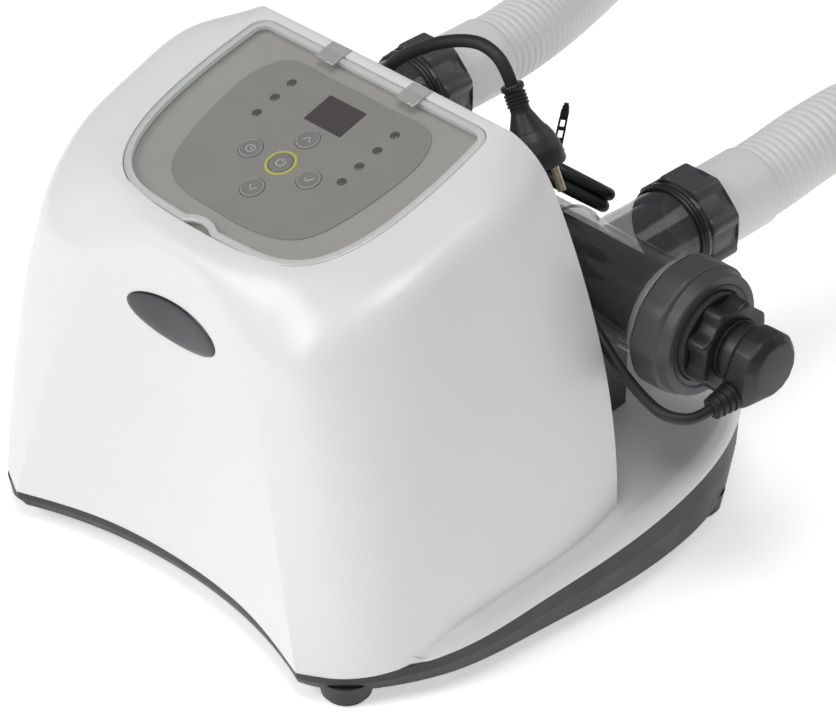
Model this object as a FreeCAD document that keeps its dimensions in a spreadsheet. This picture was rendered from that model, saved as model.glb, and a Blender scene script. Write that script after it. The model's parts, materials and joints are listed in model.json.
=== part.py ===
# Salt chlorine generator: a domed control housing on a base tray, with a clear electrolytic cell
# lying across its rear deck between two hose ports.  Millimetres, +Z up, +X to the right of a
# person who faces the control panel, -Y towards that person.  The floor is Z = 0 and the origin is
# the middle of the footprint.
import FreeCAD, Part
import math
import os
import Sketcher
from FreeCAD import Placement, Rotation, Vector

doc = FreeCAD.newDocument("salt_chlorine_generator")
sheet = doc.addObject("Spreadsheet::Sheet", "Size")

SIZES = [
    ("wall", 3, "moulded wall of the housing and the tray"),
    ("parting_mid", 40.2, "height of the parting plane at the origin"),
    ("parting_slope", 0.118, "rise of the parting plane per mm towards the rear"),
    ("tray_bottom", 10, "underside of the base tray"),
    ("tray_inset", 5, "how far the tray's underside is drawn in from its rim"),
    ("deck_rise", 11, "deck surface above the parting plane"),
    ("foot_x", 128, "front feet from the middle plane"),
    ("foot_y", -146, "front feet, fore and aft"),
    ("rear_foot_x", 150, "rear feet from the middle plane"),
    ("rear_foot_y", 112, "rear feet, fore and aft"),
    ("foot_r", 16, "leg under each corner of the tray"),
    ("pad_r", 12, "rubber pad under each leg"),
    ("pad_thick", 2.5, "rubber pad"),
    ("screw_r", 2, "thread of the self-tapping screws"),
    ("screw_head_r", 4, "head of the self-tapping screws"),
    ("screw_head", 2.4, "head height of the self-tapping screws"),
    ("lid_slope_deg", 16.34, "slope of the lid and the control panel"),
    ("lid_rear_y", 4, "rear edge of the lid, fore and aft"),
    ("lid_rear_z", 270, "rear edge of the lid, height"),
    ("lid_thick", 2.6, "clear lid"),
    ("lid_gap", 0.6, "gap round the lid"),
    ("hinge_back", 3.5, "lid pin behind the lid's rear edge, along the slope"),
    ("hinge_drop", 1.8, "lid pin below the lid's top face"),
    ("hinge_pin_r", 1.3, "lid pin"),
    ("clip_x", 31, "lid clips from the middle plane"),
    ("clip_wide", 14, "lid clip"),
    ("clip_ring_r", 3.2, "barrel of a lid clip"),
    ("panel_top", 5.7, "control panel below the lid's top face"),
    ("panel_thick", 2.8, "control panel plate"),
    ("membrane_thick", 0.6, "printed overlay"),
    ("button_r", 7, "round buttons"),
    ("button_proud", 0.7, "button above the overlay"),
    ("button_long", 7, "button cap and stem guide"),
    ("button_gap", 0.3, "gap round a button"),
    ("led_r", 2.75, "indicator lens"),
    ("window_wide", 28, "display window"),
    ("window_deep", 21, "display window"),
    ("board_thick", 1.6, "circuit boards"),
    ("cell_y", 70, "axis of the cell, fore and aft"),
    ("cell_z", 157.5, "axis of the cell, height"),
    ("tube_r", 29, "outside of the clear tube"),
    ("tube_bore_r", 25.5, "inside of the clear tube"),
    ("tube_end", 163, "where the tube's end thread starts"),
    ("thread_r", 34, "end thread of the tube"),
    ("thread_end", 178, "end face of the tube"),
    ("port_x", 104, "hose ports from the middle plane"),
    ("port_r", 25.5, "outside of a port's branch"),
    ("port_bore_r", 21, "inside of a port's branch"),
    ("port_thread_r", 28, "thread of a port"),
    ("port_thread_start", 134, "where a port's thread starts"),
    ("port_end", 147, "end face of a port"),
    ("nut_r", 31, "hose nut over its lobes"),
    ("nut_long", 22, "hose nut"),
    ("nut_start", 137, "front face of a hose nut"),
    ("nut_bore_r", 28.3, "threaded bore of a hose nut"),
    ("nut_bore_deep", 15, "threaded bore of a hose nut"),
    ("nut_eye_r", 24.7, "hole that a hose cuff passes through"),
    ("groove_r", 7, "thumb grooves between the lobes of a nut"),
    ("hose_r", 23, "outside of a hose"),
    ("cuff_r", 24.3, "outside of a hose cuff"),
    ("cuff_long", 20, "hose cuff behind its flange"),
    ("collar_start", 165, "inner face of an end collar"),
    ("collar_r", 39, "end collar"),
    ("collar_bore_r", 34.3, "threaded bore of an end collar"),
    ("collar_eye_r", 26.4, "hole in an end collar's outer face"),
    ("holder_neck_r", 26, "electrode holder where it passes the collar"),
    ("spigot_r", 17, "electrode holder inside the lock ring"),
    ("lock_start", 193, "inner face of the lock ring"),
    ("lock_long", 14, "lock ring"),
    ("lock_r", 27, "lock ring over its lobes"),
    ("connector_r", 19.5, "body of the right-angle connector"),
    ("cell_reach", 236, "outermost point of the connector at the cell's right end"),
    ("plate_long", 90, "electrode plates"),
    ("plate_thick", 1, "electrode plates"),
    ("plate_pitch", 6, "electrode plates, face to face"),
    ("cable_r", 3.2, "low-voltage cell cable"),
    ("cord_r", 3.7, "mains cord"),
]
for row, (alias, number, note) in enumerate(SIZES, 1):
    sheet.set("A%d" % row, alias)
    sheet.set("B%d" % row, str(number))
    sheet.setAlias("B%d" % row, alias)
    sheet.set("C%d" % row, note)
doc.recompute()

FORWARD = {"x": Rotation(Vector(0, 1, 0), 90), "y": Rotation(Vector(1, 0, 0), -90), "z": Rotation()}
BACKWARD = {"x": Rotation(Vector(0, 1, 0), -90), "y": Rotation(Vector(1, 0, 0), 90),
            "z": Rotation(Vector(1, 0, 0), 180)}
parts = {}
TRAY_SCREWS = [(side * x, y) for side in (-1, 1) for x, y in ((153, -100), (150, 60), (115, 135))]


# ---------------------------------------------------------------- helpers

def num(text):
    """Value of an expression over the sheet, such as "Size.nut_r - 2"."""
    result = sheet.evalExpression(str(text))
    return float(getattr(result, "Value", result))


def bind(obj, sizes):
    for prop, text in sizes.items():
        obj.setExpression(prop, str(text))


def put(obj, at, turn=None):
    """Turn an object, then tie its position to three expressions."""
    obj.Placement = Placement(Vector(*[num(v) for v in at]), turn or Rotation())
    bind(obj, {"Placement.Base." + axis: v for axis, v in zip("xyz", at)})


def keep(label, obj):
    obj.Label = label
    parts[label] = obj
    return obj


def cylinder(radius, height, at, turn=None):
    obj = doc.addObject("Part::Cylinder", "cylinder")
    bind(obj, {"Radius": radius, "Height": height})
    put(obj, at, turn)
    return obj


def box(length, width, height, at, turn=None):
    obj = doc.addObject("Part::Box", "box")
    bind(obj, {"Length": length, "Width": width, "Height": height})
    put(obj, at, turn)
    return obj


def fuse(shapes):
    obj = doc.addObject("Part::MultiFuse", "fused")
    obj.Shapes = shapes
    return obj


def cut(base, tools):
    obj = doc.addObject("Part::Cut", "cut")
    obj.Base = base
    obj.Tool = tools[0] if len(tools) == 1 else fuse(tools)
    return obj


def group(label, shapes):
    """Identical pieces that share one node."""
    obj = doc.addObject("Part::Compound", label)
    obj.Links = shapes
    return keep(label, obj)


def solid(label, shape):
    """A piece whose shape is set with Part's own functions."""
    obj = doc.addObject("Part::Feature", label)
    obj.Shape = shape
    return keep(label, obj)


def plane_of(body, role):
    return [f for f in body.Origin.OriginFeatures if f.Role == role][0]


def new_body(label):
    return keep(label, doc.addObject("PartDesign::Body", label))


def add_sketch(body, name, role="XY_Plane"):
    sketch = body.newObject("Sketcher::SketchObject", name)
    sketch.AttachmentSupport = [(plane_of(body, role), "")]
    sketch.MapMode = "FlatFace"
    return sketch


def draw_polygon(sketch, points):
    """Closed polygon whose corners, given as expressions, are tied to the origin."""
    corners = [Vector(num(x), num(y), 0) for x, y in points]
    first = sketch.GeometryCount
    count = len(corners)
    for i in range(count):
        sketch.addGeometry(Part.LineSegment(corners[i], corners[(i + 1) % count]), False)
    for i in range(count):
        sketch.addConstraint(Sketcher.Constraint("Coincident", first + i, 2, first + (i + 1) % count, 1))
    for i, (x, y) in enumerate(points):
        for kind, text, axis, value in (("DistanceX", x, -2, corners[i].x),
                                        ("DistanceY", y, -1, corners[i].y)):
            if abs(value) < 1e-9:
                sketch.addConstraint(Sketcher.Constraint("PointOnObject", first + i, 1, axis))
                continue
            if value > 0:
                rule = Sketcher.Constraint(kind, -1, 1, first + i, 1, value)
            else:
                rule, text = Sketcher.Constraint(kind, first + i, 1, -1, 1, -value), "-(%s)" % text
            index = sketch.addConstraint(rule)
            sketch.setExpression("Constraints[%d]" % index, str(text))


def draw_circle(sketch, radius, x="0", y="0"):
    circle = sketch.addGeometry(Part.Circle(Vector(num(x), num(y), 0), Vector(0, 0, 1), num(radius)), False)
    index = sketch.addConstraint(Sketcher.Constraint("Radius", circle, num(radius)))
    sketch.setExpression("Constraints[%d]" % index, str(radius))
    for kind, text, axis in (("DistanceX", x, -2), ("DistanceY", y, -1)):
        value = num(text)
        if abs(value) < 1e-9:
            sketch.addConstraint(Sketcher.Constraint("PointOnObject", circle, 3, axis))
            continue
        if value > 0:
            index = sketch.addConstraint(Sketcher.Constraint(kind, -1, 1, circle, 3, value))
        else:
            index = sketch.addConstraint(Sketcher.Constraint(kind, circle, 3, -1, 1, -value))
            text = "-(%s)" % text
        sketch.setExpression("Constraints[%d]" % index, str(text))


def pad(body, sketch, length):
    feature = body.newObject("PartDesign::Pad", "pad")
    feature.Profile = sketch
    bind(feature, {"Length": length})
    return feature


def pocket(body, sketch, length):
    """Cut upwards, into the material above the sketch's plane."""
    doc.recompute()
    before = body.Shape.Volume
    feature = body.newObject("PartDesign::Pocket", "pocket")
    feature.Profile = sketch
    feature.Reversed = True
    bind(feature, {"Length": length})
    doc.recompute()
    if body.Shape.Volume >= before - 1e-6:
        raise RuntimeError("a pocket cut nothing in " + body.Label)
    return feature


def turned(label, profile, at, turn):
    """Body of revolution: profile corners are (along the axis, radius) expressions."""
    body = new_body(label)
    sketch = add_sketch(body, label + "_profile")
    draw_polygon(sketch, profile)
    spin = body.newObject("PartDesign::Revolution", "revolution")
    spin.Profile = sketch
    spin.ReferenceAxis = (sketch, ["H_Axis"])
    spin.Angle = 360
    put(body, at, turn)
    return body


ALONG = {"x": Rotation(), "y": Rotation(Vector(0, 0, 1), 90), "-x": Rotation(Vector(0, 0, 1), 180),
         "-y": Rotation(Vector(0, 0, 1), -90), "z": Rotation(Vector(0, 1, 0), -90),
         "-z": Rotation(Vector(0, 1, 0), 90)}


# ---------------------------------------------------------------- housing and tray

def parting_z(y):
    return num("Size.parting_mid") + num("Size.parting_slope") * y


def lid_z(y):
    slope = math.tan(math.radians(num("Size.lid_slope_deg")))
    return num("Size.lid_rear_z") + slope * (y - num("Size.lid_rear_y"))


# Right half of the rim where the housing meets the tray, from the front middle to the rear middle.
RIM = [(0, -150), (62, -155.5), (115, -171), (138, -158), (156, -134), (170, -102), (178, -49), (183, 10),
       (182, 59), (177, 91), (165, 125), (145, 152), (112, 167), (0, 171)]
# Right half of the dome: front middle, arch, crease, six side points, rear corner, rear middle.
DOME_FOOT = [(0, -150), (62, -155.5), (115, -171), (138, -158), (156, -133), (163, -100), (168, -50),
             (169, 0), (165, 26), (0, 28)]
SHOULDER = [(0, -146, 214), (36, -149, 209), (65, -153.5, 196), (100, -151, 199), (118, -128, 215),
            (128, -98, 230), (131, -57, 245), (130, -15, 256), (120, 16.5, 247), (0, 14, 232)]
CROWN = [(0, -134), (36, -133), (62, -129), (78, -121), (89, -105), (94.5, -82), (96, -57), (95, -22),
         (91, 11), (0, 12)]
BULGE = [0, 0, 0, 4, 8, 9, 10, 12, 15, 0]


def dome_ring(share):
    """Points of the wall between the foot (0) and the shoulder (1), bulging out in between."""
    ring = []
    for (fx, fy), (sx, sy, sz), bulge in zip(DOME_FOOT, SHOULDER, BULGE):
        out = 4 * share * (1 - share) * bulge
        x = fx + (sx - fx) * share
        y = fy + (sy - fy) * share
        z = parting_z(fy) + (sz - parting_z(fy)) * share
        ring.append(Vector(x + out * (1 if fx else 0), y, z))
    return ring


def crown_ring(share):
    """Points between the shoulder (0) and the lid's surround (1)."""
    ring = []
    for (sx, sy, sz), (cx, cy) in zip(SHOULDER, CROWN):
        swell = 4 * share * (1 - share)
        x = sx + (cx - sx) * share
        y = sy + (cy - sy) * share
        z = sz + (lid_z(cy) - sz) * share
        side = min(1.0, sx / 60.0)
        ring.append(Vector(x + 5 * swell * side, y - 3 * swell * (1 - side) * (1 if sy < 0 else -1),
                           z + 3 * swell))
    return ring


def drawn_in(ring, distance, lift=0):
    """Ring moved horizontally towards the dome's middle by a distance."""
    moved = []
    for p in ring:
        away = Vector(p.x, p.y + 60, 0)
        reach = away.Length
        moved.append(Vector(p.x - away.x / reach * distance, p.y - away.y / reach * distance, p.z + lift))
    return moved


def ring_wire(ring, corners=(2, 8)):
    """Closed wire of four smooth stretches that meet at the creases and the rear corners."""
    crease, rear = corners
    left = [Vector(-p.x, p.y, p.z) for p in ring]
    stretches = [left[crease:0:-1] + ring[:crease + 1], ring[crease:rear + 1],
                 ring[rear:] + left[-2:rear - 1:-1], left[rear:crease - 1:-1]]
    edges = []
    for stretch in stretches:
        curve = Part.BSplineCurve()
        curve.interpolate(stretch)
        edges.append(curve.toShape())
    return Part.Wire(edges)


def loft(rings, corners=(2, 8)):
    """Solid through closed rings, straight between one ring and the next."""
    return Part.makeLoft([ring_wire(r, corners) for r in rings], True, True)


def flat_ring(points, height, inset=0.0, lift=0.0):
    ring = [Vector(x, y, height(y)) for x, y in points]
    moved = []
    for p in ring:
        reach = math.hypot(p.x, p.y)
        x = p.x * (1 - inset / reach)
        y = p.y * (1 - inset / reach)
        moved.append(Vector(x, y, height(y) + lift))
    return moved


DOME_SHARES = (0, 0.2, 0.4, 0.6, 0.8)
CROWN_SHARES = (0, 0.35, 0.7)


def boss(x, y):
    """Screw boss that stands on the tray's floor, with a pilot hole."""
    foot = num("Size.tray_bottom + Size.wall") + 0.1
    outside = Part.makeCylinder(6, parting_z(y) + 9 - foot, Vector(x, y, foot))
    return outside, Part.makeCylinder(num("Size.screw_r"), 12, Vector(x, y, foot))


def make_upper_housing():
    wall = num("Size.wall")
    outer = [dome_ring(s) for s in DOME_SHARES] + [crown_ring(s) for s in CROWN_SHARES + (1,)]
    inner = [[Vector(p.x, p.y, p.z - 6) for p in drawn_in(dome_ring(0), wall)]]
    inner += [drawn_in(dome_ring(s), wall) for s in DOME_SHARES[1:]]
    opening = drawn_in(crown_ring(1), 17)
    inner += [drawn_in(crown_ring(0), wall + 1, -4), drawn_in(crown_ring(0.5), wall + 3, -8)]
    inner += [[Vector(p.x, p.y, lid_z(p.y) + lift) for p in opening] for lift in (-13, 6)]
    rise = num("Size.deck_rise")
    rim_corners = (2, 11)
    deck = loft([flat_ring(RIM, parting_z, 0.0), flat_ring(RIM, parting_z, 1.5, 0.45 * rise),
                 flat_ring(RIM, parting_z, 3.5, 0.82 * rise), flat_ring(RIM, parting_z, 7.0, rise)],
                rim_corners)
    under = loft([flat_ring(RIM, parting_z, wall, -1.0),
                  flat_ring(RIM, parting_z, wall + 1.5, 0.45 * rise - 1),
                  flat_ring(RIM, parting_z, wall + 5.0, rise - wall)], rim_corners)
    shell = loft(outer).fuse(deck).cut(under)
    bosses = [boss(x, y) for x, y in TRAY_SCREWS]
    shell = shell.cut(loft(inner)).fuse([outside for outside, pilot in bosses])
    shell = shell.cut([pilot for outside, pilot in bosses])
    recess = lid_prism(num("Size.lid_gap"), -(num("Size.panel_top") + num("Size.panel_thick")), 12.0)
    shell = shell.cut(recess)
    for side in (-1, 1):
        shell = shell.cut(clip_pocket(side)).cut(hinge_bore(side))
    return shell


# ---------------------------------------------------------------- the lid's own sloping frame

def sloped(x, along, above):
    """Point on the slope: along it from the lid's rear edge, and above the lid's top face."""
    angle = math.radians(num("Size.lid_slope_deg"))
    return Vector(x, num("Size.lid_rear_y") + along * math.cos(angle) - above * math.sin(angle),
                  num("Size.lid_rear_z") + along * math.sin(angle) + above * math.cos(angle))


LID_TURN = Rotation(Vector(1, 0, 0), num("Size.lid_slope_deg"))
# Right half of the lid's outline in its own plane, from the front middle to the rear corner's arc.
LID = [(0, -138.5), (34, -137.5), (58, -133.5), (73, -124), (83, -108), (89, -86), (91, -64), (91, -34),
       (89.5, -11.6)]
LID_REAR = -0.6


def mirrored(point):
    return Vector(-point.x, point.y, point.z)


def lid_face(grow):
    """Face of the lid's outline, grown by a distance, in the sloping frame's own plane."""
    right = [Vector(x + grow * min(1, x / 60.0), y - grow * max(0, 1 - x / 91.0), 0) for x, y in LID]
    left = [Vector(-p.x, p.y, 0) for p in right]
    curve = Part.BSplineCurve()
    curve.interpolate(left[:0:-1] + right)
    end = curve.EndPoint
    radius = LID_REAR + grow - end.y
    centre = Vector(end.x - radius, end.y, 0)
    middle = centre + Vector(radius, radius, 0) * math.sqrt(0.5)
    corner = centre + Vector(0, radius, 0)
    edges = [curve.toShape(), Part.Arc(end, middle, corner).toShape(),
             Part.LineSegment(corner, mirrored(corner)).toShape(),
             Part.Arc(mirrored(corner), mirrored(middle), mirrored(end)).toShape()]
    return Part.Face(Part.Wire(edges))


def lid_prism(grow, low, high):
    """Prism of the lid's outline between two heights of the sloping frame."""
    face = lid_face(grow)
    prism = face.extrude(Vector(0, 0, high - low))
    prism.Placement = Placement(sloped(0, 0, 0), LID_TURN).multiply(Placement(Vector(0, 0, low), Rotation()))
    return prism


def hinge_point(x):
    return sloped(x, num("Size.hinge_back"), -num("Size.hinge_drop"))


def clip_pocket(side):
    """Gap in the housing's rear ridge that a lid clip turns in."""
    wide = num("Size.clip_wide") + 1.2
    low = -num("Size.hinge_drop") - num("Size.clip_ring_r") - 0.8
    block = Part.makeBox(wide, 16, 12, Vector(-wide / 2, -2, low))
    block.Placement = Placement(sloped(side * num("Size.clip_x"), 0, 0), LID_TURN).multiply(block.Placement)
    return block


def hinge_bore(side):
    long = num("Size.clip_wide") + 12
    start = hinge_point(side * num("Size.clip_x") - long / 2)
    return Part.makeCylinder(num("Size.hinge_pin_r") + 0.02, long, start, Vector(1, 0, 0))


def wall_behind(shell, x, z):
    """Rearmost y of the shell's rear wall under a 9 mm disc that is centred on x and z."""
    reach = 0
    for dx, dz in ((0, 0), (9, 0), (-9, 0), (0, 9), (0, -9), (6.4, -6.4), (-6.4, -6.4)):
        probe = Part.makeLine(Vector(x + dx, -30, z + dz), Vector(x + dx, 60, z + dz))
        reach = max(reach, shell.common(probe).BoundBox.YMax)
    return round(reach + 0.05, 2)


# Where the two cables pass the dome's rear wall: x and z.
CABLE_AT = {"cell": (96, 200), "mains": (33.7, 222.7)}

upper = make_upper_housing()
CABLE_HOLE = {name: (x, z, wall_behind(upper, x, z)) for name, (x, z) in CABLE_AT.items()}
print("cable holes", CABLE_HOLE)
for x, z, wall_y in CABLE_HOLE.values():
    upper = upper.cut(Part.makeCylinder(6.2, 30, Vector(x, wall_y - 25, z), Vector(0, 1, 0)))
solid("upper_housing", upper)


def make_base_tray():
    inset = num("Size.tray_inset")
    low = num("Size.tray_bottom")
    wall = num("Size.wall")
    bottom = flat_ring(RIM, lambda y: low, inset)
    middle = flat_ring(RIM, lambda y: low + 0.55 * (parting_z(y) - low), 1.2)
    top = flat_ring(RIM, parting_z, 0.4, -0.1)
    outer = loft([bottom, middle, top], (2, 11))
    inner = loft([flat_ring(RIM, lambda y: low + wall, inset + wall),
                  flat_ring(RIM, parting_z, wall + 0.4, 1.0)], (2, 11))
    tray = outer.cut(inner)
    for x, y in feet():
        leg = Part.makeCone(num("Size.foot_r") - 2, num("Size.foot_r"), low + 4 - num("Size.pad_thick"),
                            Vector(x, y, num("Size.pad_thick")))
        tray = tray.fuse(leg.cut(inner))
    for x, y in TRAY_SCREWS:
        tray = tray.cut(Part.makeCylinder(num("Size.screw_r") + 0.2, 3 * wall, Vector(x, y, low - wall)))
    return tray.removeSplitter()


def feet():
    front = (num("Size.foot_x"), num("Size.foot_y"))
    rear = (num("Size.rear_foot_x"), num("Size.rear_foot_y"))
    return [(side * x, y) for side in (-1, 1) for x, y in (front, rear)]


solid("base_tray", make_base_tray())


def screw(x, y, z, length, turn=None):
    """Pan-head screw standing with its head at z, thread towards +Z before any turn."""
    head = cylinder("Size.screw_head_r", "Size.screw_head", (x, y, z), turn)
    axis = (turn or Rotation()).multVec(Vector(0, 0, 1))
    step = num("Size.screw_head")
    thread = cylinder("Size.screw_r", length, (x + axis.x * step, y + axis.y * step, z + axis.z * step), turn)
    return fuse([head, thread])


pads = [cylinder("Size.pad_r", "Size.pad_thick", (x, y, "0")) for x, y in feet()]
group("foot_pads", pads)
group("tray_screws", [screw(x, y, num("Size.tray_bottom - Size.screw_head"), 12) for x, y in TRAY_SCREWS])


# ---------------------------------------------------------------- control panel, lid and badge

def on_slope(x, along, above):
    """Expressions for a point of the sloping frame."""
    rise = "sin(Size.lid_slope_deg)"
    run = "cos(Size.lid_slope_deg)"
    return (x, "Size.lid_rear_y + (%s) * %s - (%s) * %s" % (along, run, above, rise),
            "Size.lid_rear_z + (%s) * %s + (%s) * %s" % (along, rise, above, run))


BUTTONS = {"button_rear": (0, -54.8), "button_left": (-22.5, -76.6), "button_right": (22.5, -76.6),
           "button_front": (0, -97.5), "button_power": (0, -75.6)}
LEDS = [(-40, -27.4), (-40, -40.7), (-40, -54.8), (39, -26.6), (39, -40.2), (39, -54.2), (39, -67.8)]
WINDOW = (0, -33.4)


def slope_shape(shape):
    """Carry a shape drawn in the sloping frame to its place."""
    placed = shape.copy()
    placed.Placement = Placement(sloped(0, 0, 0), LID_TURN).multiply(placed.Placement)
    return placed


def panel_holes(low, high):
    """Cutters for the buttons, the indicators and the window, in the sloping frame."""
    tall = high - low
    holes = [Part.makeCylinder(num("Size.button_r + Size.button_gap"), tall, Vector(x, s, low))
             for x, s in BUTTONS.values()]
    holes += [Part.makeCylinder(num("Size.led_r") + 0.1, tall, Vector(x, s, low)) for x, s in LEDS]
    wide, deep = num("Size.window_wide") + 0.4, num("Size.window_deep") + 0.4
    holes.append(Part.makeBox(wide, deep, tall, Vector(WINDOW[0] - wide / 2, WINDOW[1] - deep / 2, low)))
    return holes


def cut_all(shape, tools):
    for tool in tools:
        shape = shape.cut(tool)
    return shape


panel_top = -num("Size.panel_top")
panel_low = panel_top - num("Size.panel_thick")
panel = lid_prism(0.0, panel_low + 0.05, panel_top)
solid("control_panel", cut_all(panel, [slope_shape(h) for h in panel_holes(panel_low - 1, panel_top + 1)]))

MEMBRANE = [(0, -121), (30, -119.5), (50, -111), (61, -88), (66, -55), (64, -28), (56, -16), (30, -12.8),
            (0, -12.5)]
overlay = Part.BSplineCurve()
overlay.interpolate([Vector(x, y, 0) for x, y in MEMBRANE] + [Vector(-x, y, 0) for x, y in MEMBRANE[-2:0:-1]],
                    PeriodicFlag=True)
sheet_face = Part.Face(Part.Wire([overlay.toShape()]))
membrane = sheet_face.extrude(Vector(0, 0, num("Size.membrane_thick")))
membrane.translate(Vector(0, 0, panel_top))
membrane = cut_all(membrane, panel_holes(panel_top - 1, panel_top + 2))
solid("panel_overlay", slope_shape(membrane))

SLOPE_UP = LID_TURN.multiply(ALONG["z"])
for label, (x, s) in BUTTONS.items():
    turned(label, [("0", "0"), ("0", "2.5"), ("1.5", "2.5"), ("1.5", "Size.button_r + 1.2"),
                   ("2.7", "Size.button_r + 1.2"), ("2.7", "Size.button_r"),
                   ("Size.button_long - 0.6", "Size.button_r"), ("Size.button_long", "Size.button_r - 0.6"),
                   ("Size.button_long", "0")],
           on_slope(x, s, "Size.membrane_thick + Size.button_proud - Size.panel_top - Size.button_long"),
           SLOPE_UP)

lens_low = "0.1 - Size.panel_top - Size.panel_thick"
group("indicator_lenses", [cylinder("Size.led_r", "Size.panel_thick + Size.membrane_thick + 0.2",
                                    on_slope(x, s, lens_low), LID_TURN) for x, s in LEDS])

window = new_body("display_window")
window_sketch = add_sketch(window, "window_outline")
draw_polygon(window_sketch, [("-Size.window_wide / 2", "-Size.window_deep / 2"),
                             ("Size.window_wide / 2", "-Size.window_deep / 2"),
                             ("Size.window_wide / 2", "Size.window_deep / 2"),
                             ("-Size.window_wide / 2", "Size.window_deep / 2")])
pad(window, window_sketch, "Size.panel_thick + Size.membrane_thick")
put(window, on_slope(WINDOW[0], WINDOW[1], lens_low), LID_TURN)

board_top = "-Size.panel_top - 9.4"
keep("control_board", box(112, 92, "Size.board_thick", on_slope(-56, -112, board_top + " - Size.board_thick"),
                          LID_TURN))
keep("display_module", box("Size.window_wide - 3", "Size.window_deep - 3", 5.8,
                           on_slope(WINDOW[0] - 12.5, WINDOW[1] - 9, board_top), LID_TURN))
group("key_switches", [box(6, 6, 2.3, on_slope(x - 3, s - 3, board_top), LID_TURN)
                       for x, s in BUTTONS.values()])
CORNERS = [(side * 50, along) for side in (-1, 1) for along in (-106, -22)]
standoffs = [cylinder(3, "9.4 - Size.panel_thick", on_slope(x, s, board_top), LID_TURN) for x, s in CORNERS]
DOWN = LID_TURN.multiply(BACKWARD["z"])
board_under = board_top + " - Size.board_thick"
group("board_screws", [cylinder("Size.screw_head_r - 1", 1.8, on_slope(x, s, board_under), DOWN)
                       for x, s in CORNERS])

lid = lid_prism(0.0, -num("Size.lid_thick"), 0.0)
notch = Part.makeCylinder(16, 2 * num("Size.lid_thick") + 4, Vector(0, -150.5, -num("Size.lid_thick") - 2))
solid("clear_lid", lid.cut(slope_shape(notch)))


def lid_clip(side):
    """Barrel round the pin and a tongue that grips the lid."""
    wide = num("Size.clip_wide")
    low_x = side * num("Size.clip_x") - wide / 2
    back, drop = num("Size.hinge_back"), num("Size.hinge_drop")
    barrel = Part.makeCylinder(num("Size.clip_ring_r"), wide, Vector(low_x, back, -drop), Vector(1, 0, 0))
    tongue = Part.makeBox(wide, 9 + back, 1.6, Vector(low_x, -9, 0))
    web = Part.makeBox(wide, back + 0.3, drop, Vector(low_x, -0.3, -drop))
    bore = Part.makeCylinder(num("Size.hinge_pin_r") + 0.06, wide + 2, Vector(low_x - 1, back, -drop),
                             Vector(1, 0, 0))
    return slope_shape(barrel.fuse(tongue).fuse(web).cut(bore))


solid("lid_clips", Part.makeCompound([lid_clip(-1), lid_clip(1)]))
PIN_TURN = LID_TURN.multiply(FORWARD["x"])
group("lid_pins", [cylinder("Size.hinge_pin_r", "Size.clip_wide + 11",
                            on_slope("%d * Size.clip_x - Size.clip_wide / 2 - 5.5" % side, "Size.hinge_back",
                                     "-Size.hinge_drop"), PIN_TURN) for side in (-1, 1)])

oval = Part.Ellipse(Vector(0, 0, 0), 35, 13)
badge = Part.Face(Part.Wire([oval.toShape()])).extrude(Vector(0, 0, 6.5))
badge.Placement = Placement(Vector(0, -145.6, 179), Rotation(Vector(1, 0, 0), 90))
solid("badge", max(badge.cut(upper).Solids, key=lambda s: -s.CenterOfMass.y))


# ---------------------------------------------------------------- inside the housing

FLOOR = "Size.tray_bottom + Size.wall"
turned("transformer", [("0", "13"), ("0", "38"), ("4", "42"), ("34", "42"), ("38", "38"), ("38", "13")],
       (-58, -62, FLOOR), ALONG["z"])
turned("transformer_clamp", [("0", "2.6"), ("0", "30"), ("3", "30"), ("3", "2.6")],
       (-58, -62, FLOOR + " + 38"), ALONG["z"])
turned("transformer_bolt", [("0", "0"), ("0", "2.5"), ("41", "2.5"), ("41", "5"), ("45", "5"), ("45", "0")],
       (-58, -62, FLOOR), ALONG["z"])
standoffs += [cylinder(3, 8, (x, y, FLOOR)) for x in (24, 104) for y in (-96, -24)]
group("board_standoffs", standoffs)
keep("power_board", box(92, 84, "Size.board_thick", (18, -102, FLOOR + " + 8")))
fins = [box(3, 46, 26, (84 + 5 * i, -84, FLOOR + " + 13.6")) for i in range(4)]
keep("heat_sink", fuse([box(18, 46, 4, (84, -84, FLOOR + " + 9.6"))] + fins))
group("capacitors", [cylinder(8, 28, (x, -78, FLOOR + " + 9.6")) for x in (36, 56)])
keep("terminal_block", box(44, 12, 13, (32, -36, FLOOR + " + 9.6")))


# ---------------------------------------------------------------- cell, electrode and flow sensor

def both(make):
    return [make(-1), make(1)]


def end_turn(side):
    return ALONG["x"] if side > 0 else ALONG["-x"]


ports = [cylinder("Size.port_r", "Size.port_thread_start - Size.cell_y",
                  ("%d * Size.port_x" % side, "Size.cell_y", "Size.cell_z"), FORWARD["y"])
         for side in (-1, 1)]
port_threads = [cylinder("Size.port_thread_r", "Size.port_end - Size.port_thread_start",
                         ("%d * Size.port_x" % side, "Size.port_thread_start", "Size.cell_z"), FORWARD["y"])
                for side in (-1, 1)]
tube = [cylinder("Size.tube_r", "2 * Size.tube_end", ("-Size.tube_end", "Size.cell_y", "Size.cell_z"),
                 FORWARD["x"])]
tube += [cylinder("Size.thread_r", "Size.thread_end - Size.tube_end",
                  ("%d * Size.tube_end" % side, "Size.cell_y", "Size.cell_z"),
                  FORWARD["x"] if side > 0 else BACKWARD["x"]) for side in (-1, 1)]
tube += [cylinder("Size.tube_r + 2", 4, (x, "Size.cell_y", "Size.cell_z"), FORWARD["x"]) for x in (-82, 78)]
bores = [cylinder("Size.tube_bore_r", "2 * Size.thread_end + 2",
                  ("-Size.thread_end - 1", "Size.cell_y", "Size.cell_z"), FORWARD["x"])]
bores += [cylinder("Size.port_bore_r", "Size.port_end - Size.cell_y + 1",
                   ("%d * Size.port_x" % side, "Size.cell_y", "Size.cell_z"), FORWARD["y"])
          for side in (-1, 1)]
keep("cell_housing", cut(fuse(tube + ports + port_threads), bores))

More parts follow.
